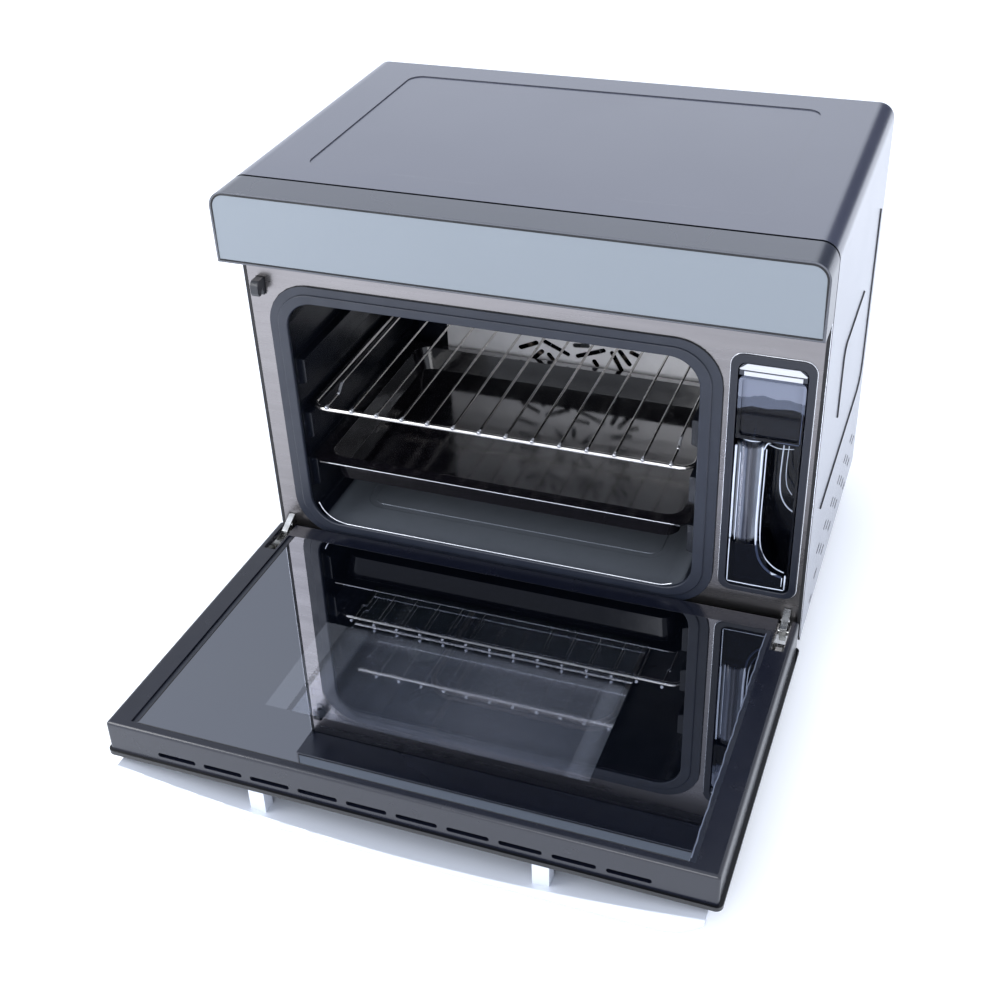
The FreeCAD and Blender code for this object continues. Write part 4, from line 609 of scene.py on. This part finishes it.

# light clear rods on the tank's moulded edges: painted highlights of the clear plastic, with one painted glint
# (glint_b)
TANK = [
    ("tube_left", [(191.3, -0.2, 197), (191.0, -0.2, 160), (191.0, -0.2, 124), (191.0, -0.2, 101)], 1.0),
    ("tube_left_inner", [(195.2, 0.4, 190), (195.0, 0.4, 150), (194.9, 0.4, 110), (194.9, 0.4, 99)], 0.4),
    ("tube_right", [(213.4, 0.8, 198), (213.2, 0.8, 168), (213.0, 0.8, 142), (213.0, 0.8, 116), (214.6, 0.8, 92), (219.5, 0.8, 78), (228.5, 0.8, 69), (238.4, 0.8, 66)], 1.15),
    ("tube_right_outer", [(216.6, 1.6, 196), (216.4, 1.6, 160), (216.2, 1.6, 122), (217.6, 1.6, 97), (222.4, 1.6, 84), (231.0, 1.6, 75), (240.2, 1.6, 71)], 0.55),
    ("tube_front_line", [(204.0, -0.1, 196), (203.8, -0.1, 150), (203.8, -0.1, 100)], 0.35),
    ("recess_top", [(214.6, 1.2, 196), (216.8, 1.2, 201.5), (221.5, 1.2, 204.0), (232.0, 1.2, 204.6), (242.6, 1.2, 204.8)], 0.55),
    ("recess_right", [(243.2, 1.2, 260), (243.2, 1.2, 232), (243.0, 1.2, 206)], 0.45),
    ("inner_curve", [(228.5, 18, 198), (227.6, 18, 176), (227.4, 18, 156), (229.4, 18, 141), (234.6, 18, 131), (240.6, 18, 126)], 0.7),
    ("inner_curve_b", [(232.5, 20, 196), (231.8, 20, 176), (231.8, 20, 162), (233.6, 20, 150), (238.2, 20, 142)], 0.45),
    ("ring_low", [(197.0, 12, 99.5), (206.5, 12, 96.5), (216.0, 12, 97.5)], 0.5),
    ("edge_low_left", [(191.0, -1.3, 100), (190.9, -1.3, 76), (190.9, -1.3, 54.0)], 0.5),
    ("foot_right", [(241.9, -1.3, 70), (241.8, -1.3, 54.5)], 0.7),
    ("foot_right_b", [(239.2, -1.2, 67), (239.1, -1.2, 57.5)], 0.4),
    ("foot_line", [(191.5, -1.3, 53.6), (205.0, -1.3, 53.4), (222.0, -1.3, 53.4), (241.5, -1.3, 53.6)], 0.45),
    ("glint_b", [(217.0, 9.0, 196.5), (226.0, 9.0, 194.0), (238.0, 9.0, 195.5)], 0.35),
]
for name, pts, r in TANK:
    bead("tank_highlight_edge_" + name, [cab(*p) for p in pts], r / 1000.0, "water_tank", "clear_highlight_bead")
ring = [cab(203.6 + 11.2 * math.cos(a), 10.2 - 9.6 * abs(math.sin(a)), 202.6) for a in [math.pi * i / 14 for i in range(15)]]
bead("tank_highlight_edge_mouth", ring, 0.0006, "water_tank", "clear_highlight_bead", smooth=False)
# small metal float guide at the top of the grip tube
for i in range(4):
    a = [cab(205.0 + 3.0 * math.cos(k * math.pi / 5), 5.0 + 3.0 * math.sin(k * math.pi / 5), 199.5 + 2.6 * i) for k in range(10)]
    bead("tank_float_coil_%d" % i, a, 0.0006, "water_tank", "zinc", closed=True, smooth=False)
bead("tank_float_stem", [cab(205.0, 5.0, 188.0), cab(205.0, 5.0, 214.0)], 0.0012, "water_tank", "zinc", smooth=False)

# wavy sealant line along the right edge of the door's glass, and a thin dark line at the left one
wob = []
for i in range(49):
    y = -292.0 + i * 5.7
    wob.append(dor(233.9 + 0.28 * math.sin(i * 0.83) + 0.22 * math.sin(i * 2.1 + 1.0), y, 8.3))
bead("glass_sealant_right", wob, 0.0005, "door", "sealant")
bead("glass_sealant_left", [dor(-232.9, -294.0 + 28 * i, 8.3) for i in range(11)], 0.0006, "door", "gap_and_shade_dark")
bead("glass_sealant_front", [dor(-232.0 + 46.5 * i, -295.9, 8.3) for i in range(11)], 0.0005, "door", "gap_and_shade_dark")

# two rivets on each hinge
for sx, tag in ((-1, "left"), (1, "right")):
    x = 247.0 * sx
    for k, (y, z, r) in enumerate(((-9.0, 26.6, 1.5), (-14.4, 21.5, 1.2))):
        bead("hinge_rivet_%s_%d" % (tag, k), [cab(x - 4.0, y, z), cab(x + 4.0, y, z)], r / 1000.0, "cabinet", "zinc", smooth=False)

# ---------------------------------------------------------------- floor and light
bm = bmesh.new()
s = 6.0
vs = [bm.verts.new((x, y, -0.0005)) for x, y in ((-s, -s), (s, -s), (s, s), (-s, s))]
bm.faces.new(vs)
me = bpy.data.meshes.new("floor")
bm.to_mesh(me)
bm.free()
floor = bpy.data.objects.new("floor", me)
scene.collection.objects.link(floor)
# the floor glows, more strongly towards the right: painted light that fills the shadows and lights the casing's right
# side
n = basic("floor_white_glow", (244, 246, 250), 0.6, vary=0.01, scale=3, spec=0.2)
n.bsdf.inputs["Emission Color"].default_value = (1.0, 1.0, 1.0, 1.0)
fx = n.new("ShaderNodeSeparateXYZ")
n.link(n.co, fx.inputs[0])
n.link(n.span(fx.outputs[0], 0.17, 0.46, 0.28, 0.5), n.bsdf.inputs["Emission Strength"])
floor.data.materials.append(n.m)

world = bpy.data.worlds.new("studio")
scene.world = world
world.use_nodes = True
wt = world.node_tree
wt.nodes.clear()
wo = wt.nodes.new("ShaderNodeOutputWorld")
bg = wt.nodes.new("ShaderNodeBackground")
tc = wt.nodes.new("ShaderNodeTexCoord")
wt.links.new(bg.outputs[0], wo.inputs[0])


def lobe(direction, inner, outer, value):
    """Adds light from one direction of the room, fading between two cosines."""
    d = Vector(direction).normalized()
    dot = wt.nodes.new("ShaderNodeVectorMath")
    dot.operation = "DOT_PRODUCT"
    wt.links.new(tc.outputs["Generated"], dot.inputs[0])
    dot.inputs[1].default_value = d
    mr = wt.nodes.new("ShaderNodeMapRange")
    mr.interpolation_type = "SMOOTHSTEP"
    mr.inputs["From Min"].default_value = outer
    mr.inputs["From Max"].default_value = inner
    mr.inputs["To Min"].default_value = 0.0
    mr.inputs["To Max"].default_value = value
    wt.links.new(dot.outputs["Value"], mr.inputs["Value"])
    return mr.outputs["Result"]


LOBES = [
    ((-0.4, 0.55, 0.73), 0.97, 0.89, -0.72),
    ((0.29, 0.92, 0.26), 0.975, 0.935, -1.42),
    ((-0.9, -0.3, 0.2), 0.95, 0.2, 0.30),
]
total = None
for args in LOBES:
    r = lobe(*args)
    if total is None:
        total = r
    else:
        a = wt.nodes.new("ShaderNodeMath")
        a.operation = "ADD"
        wt.links.new(total, a.inputs[0])
        wt.links.new(r, a.inputs[1])
        total = a.outputs[0]
a = wt.nodes.new("ShaderNodeMath")
a.operation = "ADD"
wt.links.new(total, a.inputs[0])
a.inputs[1].default_value = 1.45
bg.inputs["Color"].default_value = (0.85, 0.90, 1.0, 1.0)
wt.links.new(a.outputs[0], bg.inputs["Strength"])


def softbox(name, where, to, size, power, color=(1, 1, 1)):
    ld = bpy.data.lights.new(name, "AREA")
    ld.shape = "RECTANGLE"
    ld.size, ld.size_y = size
    ld.energy = power
    ld.color = color
    ob = bpy.data.objects.new(name, ld)
    scene.collection.objects.link(ob)
    ob.location = where
    d = Vector(to) - Vector(where)
    ob.rotation_euler = d.to_track_quat("-Z", "Y").to_euler()
    return ob


softbox("front_fill", (0.15, -2.1, 1.05), (0, 0.1, 0.15), (1.0, 0.8), 13)
softbox("left_low", (-1.0, -0.8, 0.9), (-0.55, -0.35, 0), (0.7, 0.7), 10)

scene.view_settings.view_transform = "Standard"
scene.view_settings.look = "None"
scene.view_settings.exposure = 0.0
scene.view_settings.gamma = 1.0
